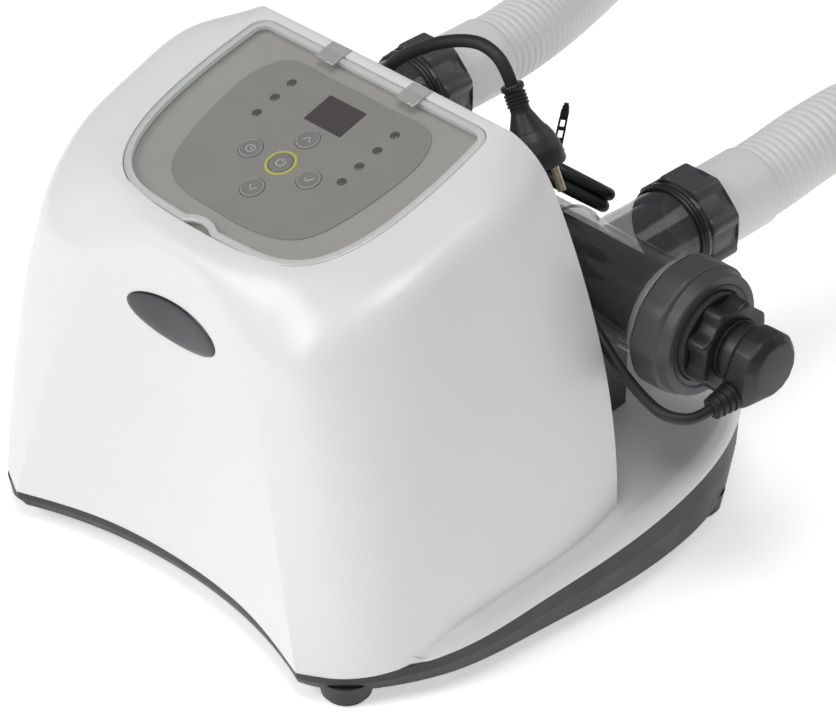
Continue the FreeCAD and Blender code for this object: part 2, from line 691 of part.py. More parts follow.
def gasket(outer, inner, thick, at, turn):
    return cut(cylinder(outer, thick, at, turn), [cylinder(inner, thick, at, turn)])


seals = [gasket("Size.port_thread_r - 0.5", "Size.port_bore_r", 2,
                ("%d * Size.port_x" % side, "Size.port_end", "Size.cell_z"), FORWARD["y"])
         for side in (-1, 1)]
seals += [gasket("Size.thread_r - 0.5", "Size.tube_bore_r", 1.2,
                 ("%d * Size.thread_end" % side, "Size.cell_y", "Size.cell_z"),
                 FORWARD["x"] if side > 0 else BACKWARD["x"]) for side in (-1, 1)]
group("gaskets", seals)

HOLDER_START = 150
HOLDER = [("0", "0"), ("0", "Size.tube_bore_r - 0.3"), ("29.2", "Size.tube_bore_r - 0.3"),
          ("29.2", "Size.thread_r - 0.3"), ("32", "Size.thread_r - 0.3"), ("32", "Size.holder_neck_r"),
          ("42.6", "Size.holder_neck_r"), ("42.6", "Size.spigot_r"), ("57.4", "Size.spigot_r"), ("57.4", "0")]
turned("electrode_holder", HOLDER, (HOLDER_START, "Size.cell_y", "Size.cell_z"), end_turn(1))

COLLAR = [("0", "Size.collar_bore_r"), ("0", "Size.collar_r - 0.8"), ("1.2", "Size.collar_r"),
          ("15", "Size.collar_r"), ("17", "Size.collar_r - 0.8"), ("17.6", "Size.collar_r - 2.4"),
          ("24.2", "Size.collar_r - 3.4"), ("25", "Size.collar_r - 4.2"), ("25", "Size.collar_eye_r"),
          ("17.4", "Size.collar_eye_r"), ("17.4", "Size.collar_bore_r")]
for label, side in (("cell_collar", 1), ("sensor_collar", -1)):
    turned(label, COLLAR, ("%d * Size.collar_start" % side, "Size.cell_y", "Size.cell_z"), end_turn(side))


def lobed_ring(label, radius, length, lobes, bore, at, turn, counterbore=None):
    """Union nut: a disc with thumb grooves round it and a stepped bore."""
    ring = new_body(label)
    disc = add_sketch(ring, label + "_disc")
    draw_circle(disc, radius)
    pad(ring, disc, length)
    groove = add_sketch(ring, label + "_groove")
    draw_circle(groove, "Size.groove_r", "%s + Size.groove_r - 2.6" % radius)
    first = pocket(ring, groove, length)
    pattern = ring.newObject("PartDesign::PolarPattern", "lobes")
    pattern.Originals = [first]
    pattern.Axis = (disc, ["N_Axis"])
    pattern.Angle = 360
    pattern.Occurrences = lobes
    ring.Tip = pattern
    through = add_sketch(ring, label + "_bore")
    draw_circle(through, bore)
    pocket(ring, through, length)
    if counterbore:
        wide = add_sketch(ring, label + "_counterbore")
        draw_circle(wide, counterbore[0])
        pocket(ring, wide, counterbore[1])
    put(ring, at, turn)
    return ring


lobed_ring("lock_ring", "Size.lock_r", "Size.lock_long", 8, "Size.spigot_r + 0.3",
           ("Size.lock_start", "Size.cell_y", "Size.cell_z"), FORWARD["x"])
for label, side in (("hose_nut_right", 1), ("hose_nut_left", -1)):
    lobed_ring(label, "Size.nut_r", "Size.nut_long", 8, "Size.nut_eye_r",
               ("%d * Size.port_x" % side, "Size.nut_start", "Size.cell_z"), FORWARD["y"],
               ("Size.nut_bore_r", "Size.nut_bore_deep"))

PLATES_BESIDE = 2
group("electrode_plates", [box("Size.plate_long", "Size.plate_thick", 38,
                               ("%d - Size.plate_long" % HOLDER_START,
                                "Size.cell_y - Size.plate_thick / 2 + %d * Size.plate_pitch" % i,
                                "Size.cell_z - 19")) for i in range(-PLATES_BESIDE, PLATES_BESIDE + 1)])

# Flow sensor: a plug in the tube's left end, with two arms and a pin that hold the paddle in the stream.
PADDLE_X = -132
STEPS = [("Size.tube_bore_r - 0.3", 29.2, 0), ("Size.thread_r - 0.3", 2.8, 29.2),
         ("Size.holder_neck_r", 10.6, 32), ("Size.spigot_r", 14.8, 42.6)]
sensor = [cylinder(radius, long, (-HOLDER_START - start, "Size.cell_y", "Size.cell_z"), BACKWARD["x"])
          for radius, long, start in STEPS]
sensor += [box(24, 3, 9, (PADDLE_X - 21, "Size.cell_y + %g" % y, "Size.cell_z + 11")) for y in (-9.4, 6.4)]
sensor.append(cylinder(1.05, 15, (PADDLE_X, "Size.cell_y - 7.5", "Size.cell_z + 15.5"), FORWARD["y"]))
keep("flow_sensor_body", fuse(sensor))
paddle = fuse([cylinder(2.6, 12, (PADDLE_X, "Size.cell_y - 6", "Size.cell_z + 15.5"), FORWARD["y"]),
               box(1.6, 12, 28, (PADDLE_X - 0.8, "Size.cell_y - 6", "Size.cell_z - 14"))])
keep("flow_paddle", cut(paddle, [cylinder(1.1, 20, (PADDLE_X, "Size.cell_y - 10", "Size.cell_z + 15.5"),
                                          FORWARD["y"])]))


# Two cradles carry the tube on the rear deck.
def cradle(side):
    block = Part.makeBox(18, 46, 96, Vector(side * 101 - 9, num("Size.cell_y") - 23, 40))
    hollow = Part.makeCylinder(num("Size.tube_r") + 0.1, 60,
                               Vector(side * 101 - 30, num("Size.cell_y"), num("Size.cell_z")),
                               Vector(1, 0, 0))
    under = Part.makeBox(40, 80, 60, Vector(side * 101 - 20, num("Size.cell_y") - 40, -22))
    branch = Part.makeCylinder(num("Size.port_r") + 0.1, 40,
                               Vector(side * num("Size.port_x"), num("Size.cell_y"), num("Size.cell_z")),
                               Vector(0, 1, 0))
    pieces = block.cut([hollow, branch, upper, under]).Solids
    return max(pieces, key=lambda s: s.CenterOfMass.z)


solid("cell_cradles", Part.makeCompound(both(cradle)))

# Right-angle connector on the electrode's terminals: a drum with an outlet towards the front.
CONNECTOR_START = num("Size.lock_start + Size.lock_long") + 0.6
drum = Part.makeCylinder(num("Size.connector_r"), num("Size.cell_reach") - CONNECTOR_START,
                         Vector(CONNECTOR_START, num("Size.cell_y"), num("Size.cell_z")), Vector(1, 0, 0))
drum = drum.makeFillet(4, [drum.Edges[0], drum.Edges[2]] if len(drum.Edges) > 2 else drum.Edges)
OUTLET = Vector(222, num("Size.cell_y") - 6, num("Size.cell_z") - 12.5)
OUTLET_WAY = Vector(-0.12, -0.97, -0.2).normalize()
OUTLET_LONG = 12
outlet = Part.makeCone(14, 9, OUTLET_LONG, OUTLET, OUTLET_WAY)
solid("cell_connector", drum.fuse(outlet).removeSplitter())

RELIEF_LONG = 15


def relief(start, way, length, wide, narrow, ribs, bore=0.0):
    """Tapered strain relief with ribs round it, drawn along a direction."""
    body = Part.makeCone(wide, narrow, length, start, way)
    pitch = length / float(ribs)
    for i in range(ribs):
        where = (i + 0.25) * pitch
        radius = wide + (narrow - wide) * where / length
        body = body.fuse(Part.makeCylinder(radius + 0.9, 0.5 * pitch, start + way * where, way))
    if bore:
        body = body.cut(Part.makeCylinder(bore, length, start, way))
    return body.removeSplitter()


RELIEF_START = OUTLET + OUTLET_WAY * OUTLET_LONG
solid("connector_relief", relief(RELIEF_START, OUTLET_WAY, RELIEF_LONG, 7.4, 5.2, 4))


# ---------------------------------------------------------------- cords and hoses

def route_wire(points):
    """Straight runs joined by tangent arcs, each as large as its two runs allow."""
    edges, radii = [], []
    start = points[0]
    for before, corner, after in zip(points, points[1:], points[2:]):
        into, out = corner - before, after - corner
        turn = into.getAngle(out)
        radius = 0.45 * min(into.Length, out.Length) / math.tan(turn / 2)
        reach = radius * math.tan(turn / 2)
        first = corner - into * (reach / into.Length)
        last = corner + out * (reach / out.Length)
        inward = out * (1 / out.Length) - into * (1 / into.Length)
        inward.normalize()
        middle = corner + inward * (radius / math.cos(turn / 2) - radius)
        edges.append(Part.LineSegment(start, first).toShape())
        edges.append(Part.Arc(first, middle, last).toShape())
        radii.append(radius)
        start = last
    edges.append(Part.LineSegment(start, points[-1]).toShape())
    return Part.Wire(edges), radii


def cord_tube(label, route, radius):
    points = [Vector(*p) for p in route]
    path, radii = route_wire(points)
    ring = Part.Wire([Part.Circle(points[0], points[1] - points[0], radius).toShape()])
    tube_solid = path.makePipeShell([ring], True, False)
    expected = math.pi * radius ** 2 * path.Length
    print("%s: length %.0f, least radius %.0f (%.1f diameters), volume ratio %.4f"
          % (label, path.Length, min(radii), min(radii) / radius / 2, tube_solid.Volume / expected))
    solid(label, tube_solid)
    return path.Length


HOSE_RIGHT = [(104, 171.7, 157.5), (104, 208, 157.5), (103, 249, 162), (104, 293, 164), (105, 346, 158),
              (108, 402, 145), (116, 460, 126), (139, 516, 103), (176, 565, 79), (225, 602, 57),
              (281, 625, 39), (341, 633, 28), (401, 625, 23), (458, 602, 23), (506, 565, 23), (543, 516, 23),
              (566, 460, 23), (574, 400, 23.5), (566, 340, 26), (543, 284, 31.5), (506, 235, 31.5)]
HOSE_LEFT = [(-104, 171.7, 157.5), (-104, 208, 157.5), (-111, 251, 157), (-127, 298, 151.5),
             (-149, 343, 140), (-175, 383, 123), (-199, 427, 103), (-215, 479, 81), (-219, 537, 59),
             (-206, 590, 41), (-176, 635, 29), (-133, 669, 24), (-79, 690, 23), (-18, 699, 23),
             (45, 700, 23), (108, 698, 23), (171, 699, 23), (234, 698, 23), (297, 695, 23), (359, 689, 23),
             (420, 676, 24), (478, 654, 31.5), (528, 627, 31.5)]


FLANGE_THICK = 2.7


def fitting(label, start, way):
    """Cuff with its flange clamped by a nut: the flange is at the start, the sleeve runs along the way."""
    long = num("Size.cuff_long")
    flange = Part.makeCylinder(num("Size.port_thread_r") - 0.2, FLANGE_THICK, start, way)
    sleeve = Part.makeCylinder(num("Size.cuff_r"), long + FLANGE_THICK, start, way)
    return solid(label, flange.fuse(sleeve).cut(Part.makeCylinder(19, long + FLANGE_THICK, start, way)))


def end_nut(label, start, way):
    """The same nut as at the ports, facing away from the hose, with a relief where the flange turns."""
    turn = Rotation(Vector(0, 0, 1), way)
    ring = lobed_ring(label + "_blank", "Size.nut_r", "Size.nut_long", 8, "Size.nut_eye_r", tuple(start),
                      turn, ("Size.nut_bore_r", "Size.nut_bore_deep"))
    parts.pop(ring.Label)
    groove_at = start + way * (num("Size.nut_bore_deep") - FLANGE_THICK - 0.3)
    groove = cylinder("Size.nut_bore_r + 0.4", FLANGE_THICK + 0.3, tuple(groove_at), turn)
    keep(label, cut(ring, [groove]))


for name, route, side in (("right", HOSE_RIGHT, 1), ("left", HOSE_LEFT, -1)):
    port_face = Vector(side * num("Size.port_x"), num("Size.port_end") + 2, num("Size.cell_z"))
    fitting("hose_cuff_" + name, port_face, Vector(0, 1, 0))
    cord_tube("hose_" + name, route, num("Size.hose_r"))
    finish = Vector(*route[-1])
    heading = finish - Vector(*route[-2])
    heading.normalize()
    flange_at = finish + heading * (num("Size.cuff_long") + FLANGE_THICK)
    fitting("hose_end_cuff_" + name, flange_at, heading * -1)
    mouth = flange_at + heading * (num("Size.nut_bore_deep") - FLANGE_THICK)
    end_nut("hose_end_nut_" + name, mouth, heading * -1)
    print("hose end", name, "mouth", mouth, "facing", heading)


GLAND_LONG = 10


def gland(label, hole, cord_radius):
    """Bush through the rear wall with a flange and a ribbed relief outside."""
    x, z, wall_y = hole
    rear = Vector(0, 1, 0)
    neck = Part.makeCylinder(6, 8, Vector(x, wall_y - 8, z), rear)
    flange = Part.makeCylinder(9, 2.5, Vector(x, wall_y, z), rear)
    tail = relief(Vector(x, wall_y + 2.5, z), rear, GLAND_LONG - 2.5, 6.4, cord_radius + 1.3, 4)
    bush = neck.fuse(flange).fuse(tail)
    bush = bush.cut(Part.makeCylinder(cord_radius, GLAND_LONG + 8, Vector(x, wall_y - 8, z), rear))
    solid(label, bush.removeSplitter())
    return Vector(x, wall_y + GLAND_LONG, z)


cell_exit = gland("cell_cable_gland", CABLE_HOLE["cell"], num("Size.cable_r"))
mains_exit = gland("cord_gland", CABLE_HOLE["mains"], num("Size.cord_r"))

RELIEF_END = RELIEF_START + OUTLET_WAY * RELIEF_LONG
CELL_CABLE = [tuple(cell_exit), (96, 38.6, 200), (99.5, 47, 191.5), (106, 45.5, 181), (115, 40.2, 171.5),
              (126, 36, 163), (138.5, 33, 155.5), (152, 29.5, 149), (167, 25, 144), (183.5, 20.5, 140.8),
              (200.5, 17, 138.8), (211.5, 20.5, 138), tuple(RELIEF_END + OUTLET_WAY * 9.3), tuple(RELIEF_END)]
cord_tube("cell_cable", CELL_CABLE, num("Size.cable_r"))

# The spare mains cord is folded into an oval hank that leans on the tube's rear shoulder.
HANK_HALF, HANK_END_R, HANK_WIDE, HANK_THICK = 53, 22, 22, 15
HANK_AT = Vector(0, 87.8, 193.5)
HANK_TURN = Rotation(Vector(1, 0, 0), -40).multiply(Rotation(Vector(0, 0, 1), 16))


def stadium(radius):
    low = -HANK_THICK / 2.0
    ends = [Part.makeCylinder(radius, HANK_THICK, Vector(x, 0, low)) for x in (-HANK_HALF, HANK_HALF)]
    middle = Part.makeBox(2 * HANK_HALF, 2 * radius, HANK_THICK, Vector(-HANK_HALF, -radius, low))
    return middle.fuse(ends).removeSplitter()


hank = stadium(HANK_END_R + HANK_WIDE / 2.0).cut(stadium(HANK_END_R - HANK_WIDE / 2.0))
hank.Placement = Placement(HANK_AT, HANK_TURN)
solid("cord_hank", hank)


def on_hank(x, y, z):
    return HANK_AT + HANK_TURN.multVec(Vector(x, y, z))


# Mains plug: it points down to the right behind the dome, its cord comes over the top from the left.
PLUG_TOP = Vector(57.5, 50, 268)
PLUG_WAY = Vector(0.46, 0, -0.89).normalize()
plug_pieces = [Part.makeCylinder(6.6, 4, PLUG_TOP, PLUG_WAY),
               Part.makeCylinder(5.4, 14, PLUG_TOP + PLUG_WAY * 4, PLUG_WAY),
               Part.makeCone(5.4, 15.5, 22, PLUG_TOP + PLUG_WAY * 18, PLUG_WAY),
               Part.makeCylinder(15.5, 9, PLUG_TOP + PLUG_WAY * 40, PLUG_WAY)]
solid("mains_plug", plug_pieces[0].fuse(plug_pieces[1:]).removeSplitter())
face = PLUG_TOP + PLUG_WAY * 49
across = Vector(0, 1, 0)
pins = [Part.makeCylinder(2.4, 17, face + across * s, PLUG_WAY) for s in (-9.5, 9.5)]
solid("plug_pins", Part.makeCompound(pins))

tie_block = Part.makeBox(4.6, HANK_WIDE + 4.4, HANK_THICK + 4.4,
                         Vector(48, -HANK_END_R - HANK_WIDE / 2.0 - 2.2, -HANK_THICK / 2.0 - 2.2))
tie_hole = Part.makeBox(8, HANK_WIDE + 0.6, HANK_THICK + 0.6,
                        Vector(46, -HANK_END_R - HANK_WIDE / 2.0 - 0.3, -HANK_THICK / 2.0 - 0.3))
tie_head = Part.makeBox(7, 8, 6, Vector(47, -26, HANK_THICK / 2.0 + 1.9))
tie = tie_block.cut(tie_hole).fuse(tie_head)
tie.Placement = Placement(HANK_AT, HANK_TURN)
tail = Part.makeBox(1.3, 5, 32, Vector(-0.65, -2.5, 0))
lean = Rotation(Vector(0, 0, 1), Vector(0.2, 0, 1)).multiply(Rotation(Vector(0, 0, 1), -45))
tail.Placement = Placement(on_hank(50.5, -22, HANK_THICK / 2.0 + 6), lean)
tie = tie.fuse(tail)
solid("cable_tie", tie)

# Both leads leave the hank's front edge.
front_edge = -HANK_END_R - HANK_WIDE / 2.0
LEAD_WAY = HANK_TURN.multVec(Vector(0, -1, 0))
near, far = on_hank(20, front_edge, 0), on_hank(-50, front_edge, 0)
CORD_IN = [tuple(mains_exit), tuple(near + LEAD_WAY * 19.7), tuple(near)]
CORD_OUT = [tuple(far), tuple(far + LEAD_WAY * 10.5), (-31, 39.5, 241), (-21, 39.5, 255), (-5, 42, 267.5),
            (13, 45.5, 278.5), (33, 49, 285), (46, 50, 282), tuple(PLUG_TOP - PLUG_WAY * 8), tuple(PLUG_TOP)]
for label, route in (("power_cord_gland_side", CORD_IN), ("power_cord_plug_side", CORD_OUT)):
    cord_tube(label, route, num("Size.cord_r"))


# ---------------------------------------------------------------- checks and files

doc.recompute()
for obj in doc.Objects:
    if "Invalid" in obj.State or "Error" in obj.State:
        raise RuntimeError("%s (%s) failed to build" % (obj.Label, obj.Name))
os.makedirs("parts", exist_ok=True)
for label, obj in parts.items():
    if obj.Shape.isNull() or not obj.Shape.isValid() or not obj.Shape.Solids:
        raise RuntimeError(label + " has no sound solid")
    obj.Shape.exportStep("parts/%s.step" % label)
print("%d nodes" % len(parts))
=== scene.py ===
"""Looks of the salt chlorine generator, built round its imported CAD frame.

Lengths in the builders below are millimetres in the row frame and are scaled to metres when a mesh is made.
"""

import json
import math

import bmesh
import bpy
import numpy as np
from mathutils import Matrix, Vector
from mathutils.bvhtree import BVHTree


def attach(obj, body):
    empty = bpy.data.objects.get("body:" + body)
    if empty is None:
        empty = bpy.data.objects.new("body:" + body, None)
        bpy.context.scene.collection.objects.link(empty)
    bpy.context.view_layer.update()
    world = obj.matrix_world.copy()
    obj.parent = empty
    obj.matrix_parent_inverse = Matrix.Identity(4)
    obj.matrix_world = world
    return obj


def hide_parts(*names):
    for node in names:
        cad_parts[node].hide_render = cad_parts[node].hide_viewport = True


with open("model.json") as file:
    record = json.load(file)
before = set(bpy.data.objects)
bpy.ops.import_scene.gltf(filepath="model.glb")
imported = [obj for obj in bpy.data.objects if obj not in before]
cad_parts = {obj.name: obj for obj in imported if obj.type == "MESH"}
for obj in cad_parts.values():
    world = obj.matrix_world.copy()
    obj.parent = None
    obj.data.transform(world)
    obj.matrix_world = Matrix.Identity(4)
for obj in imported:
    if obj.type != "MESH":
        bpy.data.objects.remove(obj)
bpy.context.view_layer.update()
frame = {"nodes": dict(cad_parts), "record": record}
NODES = frame["nodes"]
MM = 0.001
bpy.context.scene.unit_settings.system = "METRIC"


# ---------------------------------------------------------------- materials

def linear(r, g, b):
    """sRGB from 0 to 255 as linear colour."""
    out = []
    for v in (r, g, b):
        v /= 255.0
        out.append(v / 12.92 if v <= 0.04045 else ((v + 0.055) / 1.055) ** 2.4)
    return out


class Shader:
    """A node material under construction."""

    def __init__(self, name):
        self.mat = bpy.data.materials.new(name)
        self.mat.use_nodes = True
        self.tree = self.mat.node_tree
        self.bsdf = self.tree.nodes["Principled BSDF"]
        self.coords = self.tree.nodes.new("ShaderNodeTexCoord").outputs["Object"]

    def set(self, **values):
        for key, value in values.items():
            self.bsdf.inputs[key.replace("_", " ")].default_value = value
        return self

    def node(self, kind, inputs=(), **props):
        node = self.tree.nodes.new(kind)
        for key, value in props.items():
            setattr(node, key, value)
        for key, value in dict(inputs).items():
            if isinstance(value, bpy.types.NodeSocket):
                self.tree.links.new(value, node.inputs[key])
            else:
                node.inputs[key].default_value = value
        return node

    def noise(self, scale, detail=3.0, rough=0.55):
        return self.node("ShaderNodeTexNoise", {"Vector": self.coords, "Scale": scale, "Detail": detail,
                                                "Roughness": rough}).outputs["Fac"]

    def ramp(self, fac, stops):
        node = self.node("ShaderNodeValToRGB", {"Fac": fac})
        ramp = node.color_ramp
        while len(ramp.elements) < len(stops):
            ramp.elements.new(0.5)
        for element, (at, colour) in zip(ramp.elements, stops):
            element.position = at
            element.color = (*colour, 1.0) if len(colour) == 3 else colour
        return node.outputs["Color"]

    def remap(self, fac, low, high, start=0.3, end=0.7):
        return self.node("ShaderNodeMapRange",
                         {"Value": fac, "From Min": start, "From Max": end, "To Min": low,
                                                "To Max": high}).outputs["Result"]

    def math(self, op, a, b=0.0):
        return self.node("ShaderNodeMath", {0: a, 1: b}, operation=op).outputs[0]

    def link(self, socket, name):
        self.tree.links.new(socket, self.bsdf.inputs[name])
        return self

    def bump(self, height, strength, distance):
        node = self.node("ShaderNodeBump", {"Height": height, "Strength": strength, "Distance": distance})
        return self.link(node.outputs["Normal"], "Normal")


def shade(rgb, factor):
    return [min(1.0, c * factor) for c in rgb]


def plastic(name, rgb, rough, vary=0.05, grain=900.0, grain_depth=0.00003, cloud=14.0, **more):
    """Moulded plastic: slight clouding of colour and gloss, and a fine moulded grain."""
    s = Shader(name)
    base = linear(*rgb)
    s.link(s.ramp(s.noise(cloud, 4.0), [(0.3, shade(base, 1 - vary)), (0.7, shade(base, 1 + vary))]),
           "Base Color")
    s.link(s.remap(s.noise(cloud * 3.1, 5.0), rough - 0.05, rough + 0.07), "Roughness")
    s.bump(s.noise(grain, 2.0), 0.35, grain_depth)
    return s.set(**more).mat


MATERIALS = {}
MATERIALS["housing_white"] = plastic("housing_white", (228, 229, 228), 0.34, 0.012, 1300.0, 0.000012, 9.0,
                                     Coat_Weight=0.12, Coat_Roughness=0.22)
MATERIALS["dark_plastic"] = plastic("dark_plastic", (68, 70, 73), 0.42, 0.05, 1100.0, 0.00003)
MATERIALS["tray_grey"] = plastic("tray_grey", (40, 41, 43), 0.5, 0.05, 900.0, 0.00004)
MATERIALS["black_plastic"] = plastic("black_plastic", (31, 31, 33), 0.42, 0.08, 1100.0, 0.00003)
MATERIALS["plug_grey"] = plastic("plug_grey", (46, 46, 48), 0.45, 0.08, 1100.0, 0.00003)
MATERIALS["black_rubber"] = plastic("black_rubber", (30, 30, 31), 0.5, 0.1, 700.0, 0.00003)
MATERIALS["panel_grey"] = plastic("panel_grey", (158, 155, 150), 0.5, 0.03, 1500.0, 0.00003)
MATERIALS["button_black"] = plastic("button_black", (58, 58, 60), 0.36, 0.05)
MATERIALS["lens"] = plastic("lens", (46, 43, 43), 0.25, 0.06, Coat_Weight=0.2, Coat_Roughness=0.1)
MATERIALS["display"] = plastic("display", (40, 20, 25), 0.3, 0.06, Specular_IOR_Level=0.25)
MATERIALS["board"] = plastic("board", (28, 96, 58), 0.4, 0.12, 400.0)
MATERIALS["capacitor"] = plastic("capacitor", (34, 48, 92), 0.32, 0.06)
MATERIALS["transformer_tape"] = plastic("transformer_tape", (190, 160, 66), 0.5, 0.08)
MATERIALS["badge_blue"] = plastic("badge_blue", (22, 25, 30), 0.25, 0.12, Coat_Weight=0.3,
                                  Coat_Roughness=0.06)
MATERIALS["paddle_red"] = plastic("paddle_red", (178, 50, 36), 0.36, 0.05)
MATERIALS["hose_white"] = plastic("hose_white", (226, 227, 226), 0.42, 0.02, 500.0, 0.00004)
MATERIALS["standoff_nylon"] = plastic("standoff_nylon", (222, 221, 214), 0.42, 0.02)


def metal(name, rgb, rough, streak=(1.0, 1.0, 1.0)):
    s = Shader(name)
    base = linear(*rgb)
    mapped = s.node("ShaderNodeMapping", {"Vector": s.coords, "Scale": streak}).outputs["Vector"]
    fine = s.node("ShaderNodeTexNoise", {"Vector": mapped, "Scale": 260.0, "Detail": 4.0}).outputs["Fac"]
    s.link(s.ramp(fine, [(0.3, shade(base, 0.88)), (0.7, shade(base, 1.08))]), "Base Color")
    s.link(s.remap(fine, rough - 0.06, rough + 0.1), "Roughness")
    s.bump(fine, 0.25, 0.00003)
    return s.set(Metallic=1.0).mat


MATERIALS["steel"] = metal("steel", (186, 187, 189), 0.34)
MATERIALS["aluminium"] = metal("aluminium", (196, 197, 199), 0.38, (1, 0.1, 1))
MATERIALS["titanium"] = metal("titanium", (58, 56, 56), 0.5, (1, 1, 0.1))
MATERIALS["brass"] = metal("brass", (206, 196, 168), 0.26)


def clear(name, rgb, alpha, rough, ripple=0.02):
    """Thin clear moulding: a tinted see-through sheet with sharp reflections."""
    s = Shader(name)
    base = linear(*rgb)
    s.link(s.ramp(s.noise(12.0), [(0.3, shade(base, 0.96)), (0.7, shade(base, 1.04))]), "Base Color")
    s.link(s.remap(s.noise(40.0), rough * 0.7, rough * 1.4), "Roughness")
    s.bump(s.noise(26.0, 1.0), ripple, 0.0003)
    return s.set(Alpha=alpha, IOR=1.5, Specular_IOR_Level=0.9, Coat_Weight=1.0, Coat_Roughness=0.03).mat


MATERIALS["clear_lid"] = clear("clear_lid", (226, 232, 232), 0.045, 0.06)
# Whiter, half-clear material for the lid's rim: a painted highlight standing for the bright edge of the clear
# sheet.
MATERIALS["lid_edge_painted_highlight"] = clear("lid_edge_painted_highlight", (240, 243, 243), 0.5, 0.12)
MATERIALS["clip_grey"] = clear("clip_grey", (186, 186, 184), 0.62, 0.15)
MATERIALS["clear_tube"] = clear("clear_tube", (74, 77, 79), 0.42, 0.05)
# Light tint on the clear end flanges of the tube: a painted highlight standing for their glints.
MATERIALS["tube_rim_painted_glint"] = clear("tube_rim_painted_glint", (206, 210, 210), 0.3, 0.06)

RECORD_SLOTS = {part["node"]: part["material_slot"] for part in frame["record"]["subparts"]}
for name, node in NODES.items():
    slot = RECORD_SLOTS[name]
    slot = {"overlay_grey": "panel_grey", "button_plastic": "button_black"}.get(slot, slot)
    node.data.materials.clear()
    node.data.materials.append(MATERIALS[slot])


# ---------------------------------------------------------------- stage, light and camera

def stage():
    scene = bpy.context.scene
    bpy.ops.mesh.primitive_plane_add(size=14, location=(0, 0, 0))
    floor = bpy.context.object
    floor.name = "floor"
    s = Shader("floor_white")
    s.link(s.ramp(s.noise(3.0), [(0.3, (0.9, 0.9, 0.9)), (0.7, (0.93, 0.93, 0.93))]), "Base Color")
    s.set(Roughness=0.75, Emission_Color=(1, 1, 1, 1), Emission_Strength=0.52)
    floor.data.materials.append(s.mat)
    world = bpy.data.worlds.new("studio")
    scene.world = world
    world.use_nodes = True
    world.node_tree.nodes["Background"].inputs["Color"].default_value = (1, 1, 1, 1)
    world.node_tree.nodes["Background"].inputs["Strength"].default_value = 0.22
    for name, at, size, energy in (("key", (-0.9, -2.2, 2.0), 1.3, 36), ("top", (0.5, -0.5, 2.5), 1.0, 20),
                                   ("rim", (0.6, 1.9, 1.5), 1.2, 5)):
        light = bpy.data.lights.new(name, "AREA")
        light.shape = "SQUARE"
        light.size = size
        light.energy = energy
        lamp = bpy.data.objects.new(name, light)
        scene.collection.objects.link(lamp)
        lamp.location = at
        lamp.rotation_euler = (Vector((0, 0, 0.1)) - Vector(at)).to_track_quat("-Z", "Y").to_euler()
    camera_data = bpy.data.cameras.new("camera")
    camera_data.lens = 167.94
    camera_data.sensor_width = 36.0
    camera_data.clip_end = 30
    camera = bpy.data.objects.new("camera", camera_data)
    camera.location = (1.3049, -1.2685, 1.3400)
    camera.rotation_euler = (math.radians(55.4), 0, math.radians(45))
    scene.collection.objects.link(camera)
    scene.camera = camera
    scene.view_settings.view_transform = "Standard"


stage()


# ---------------------------------------------------------------- mesh helpers

def mesh_piece(name, verts, faces, material, body, replaces=(), smooth_angle=40.0, slots=None):
    """Mesh from points in millimetres, shaded smooth up to an angle, riding on a body."""
    mesh = bpy.data.meshes.new(name)
    mesh.from_pydata([tuple(c * MM for c in v) for v in verts], [], faces)
    mats = material if isinstance(material, (list, tuple)) else [material]
    for m in mats:
        mesh.materials.append(m)
    if slots is not None:
        mesh.polygons.foreach_set("material_index", slots)
    bm = bmesh.new()
    bm.from_mesh(mesh)
    bmesh.ops.remove_doubles(bm, verts=bm.verts, dist=1e-6)
    bmesh.ops.recalc_face_normals(bm, faces=bm.faces)
    for face in bm.faces:
        face.smooth = True
    limit = math.radians(smooth_angle)
    for edge in bm.edges:
        edge.smooth = not (len(edge.link_faces) == 2 and edge.calc_face_angle(0) > limit)
    bm.to_mesh(mesh)
    bm.free()
    piece = bpy.data.objects.new(name, mesh)
    bpy.context.scene.collection.objects.link(piece)
    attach(piece, body)
    if replaces:
        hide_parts(*replaces)
    return piece


def grid_faces(rows, cols, close_rows=False, close_cols=True, start=0):
    faces = []
    for i in range(rows if close_rows else rows - 1):
        for j in range(cols if close_cols else cols - 1):
            a, b = i * cols + j, i * cols + (j + 1) % cols
            k = (i + 1) % rows
            faces.append((start + a, start + b, start + k * cols + (j + 1) % cols, start + k * cols + j))
    return faces


def basis(way):
    """Two directions square to a way."""
    way = Vector(way).normalized()
    turn = Vector((0, 0, 1)).rotation_difference(way)
    return turn @ Vector((1, 0, 0)), turn @ Vector((0, 1, 0)), way


def lathe(profile, at, way, count=72, lobes=None, closed=True):
    """Rings from a profile of (along, radius[, groove weight]). lobes(angle) is a groove's depth there."""
    side, up, way = basis(way)
    at = Vector(at)
    verts = []
    for item in profile:
        along, radius = item[:2]
        weight = item[2] if len(item) > 2 else 0.0
        for j in range(count):
            angle = 2 * math.pi * j / count
            r = radius - (weight * lobes(angle) if lobes else 0.0)
            verts.append(at + way * along + side * (r * math.cos(angle)) + up * (r * math.sin(angle)))
    return verts, grid_faces(len(profile), count, closed)


def rounded(points, radius, steps=4):
    """Closed or open polyline of (along, radius) pairs with its inner corners rounded."""
    out = [points[0]]
    for a, b, c in zip(points, points[1:], points[2:]):
        a2, b2, c2 = (Vector(p[:2]) for p in (a, b, c))
        r = min(radius, 0.48 * (b2 - a2).length, 0.48 * (c2 - b2).length)
        p = b2 + (a2 - b2).normalized() * r
        q = b2 + (c2 - b2).normalized() * r
        extra = tuple(b[2:])
        for k in range(steps + 1):
            t = k / steps
            s = p * (1 - t) ** 2 + b2 * (2 * t * (1 - t)) + q * t ** 2
            out.append((s.x, s.y) + extra)
    out.append(points[-1])
    return out


def merge(parts):
    verts, faces = [], []
    for v, f in parts:
        start = len(verts)
        verts += list(v)
        faces += [tuple(start + i for i in face) for face in f]
    return verts, faces


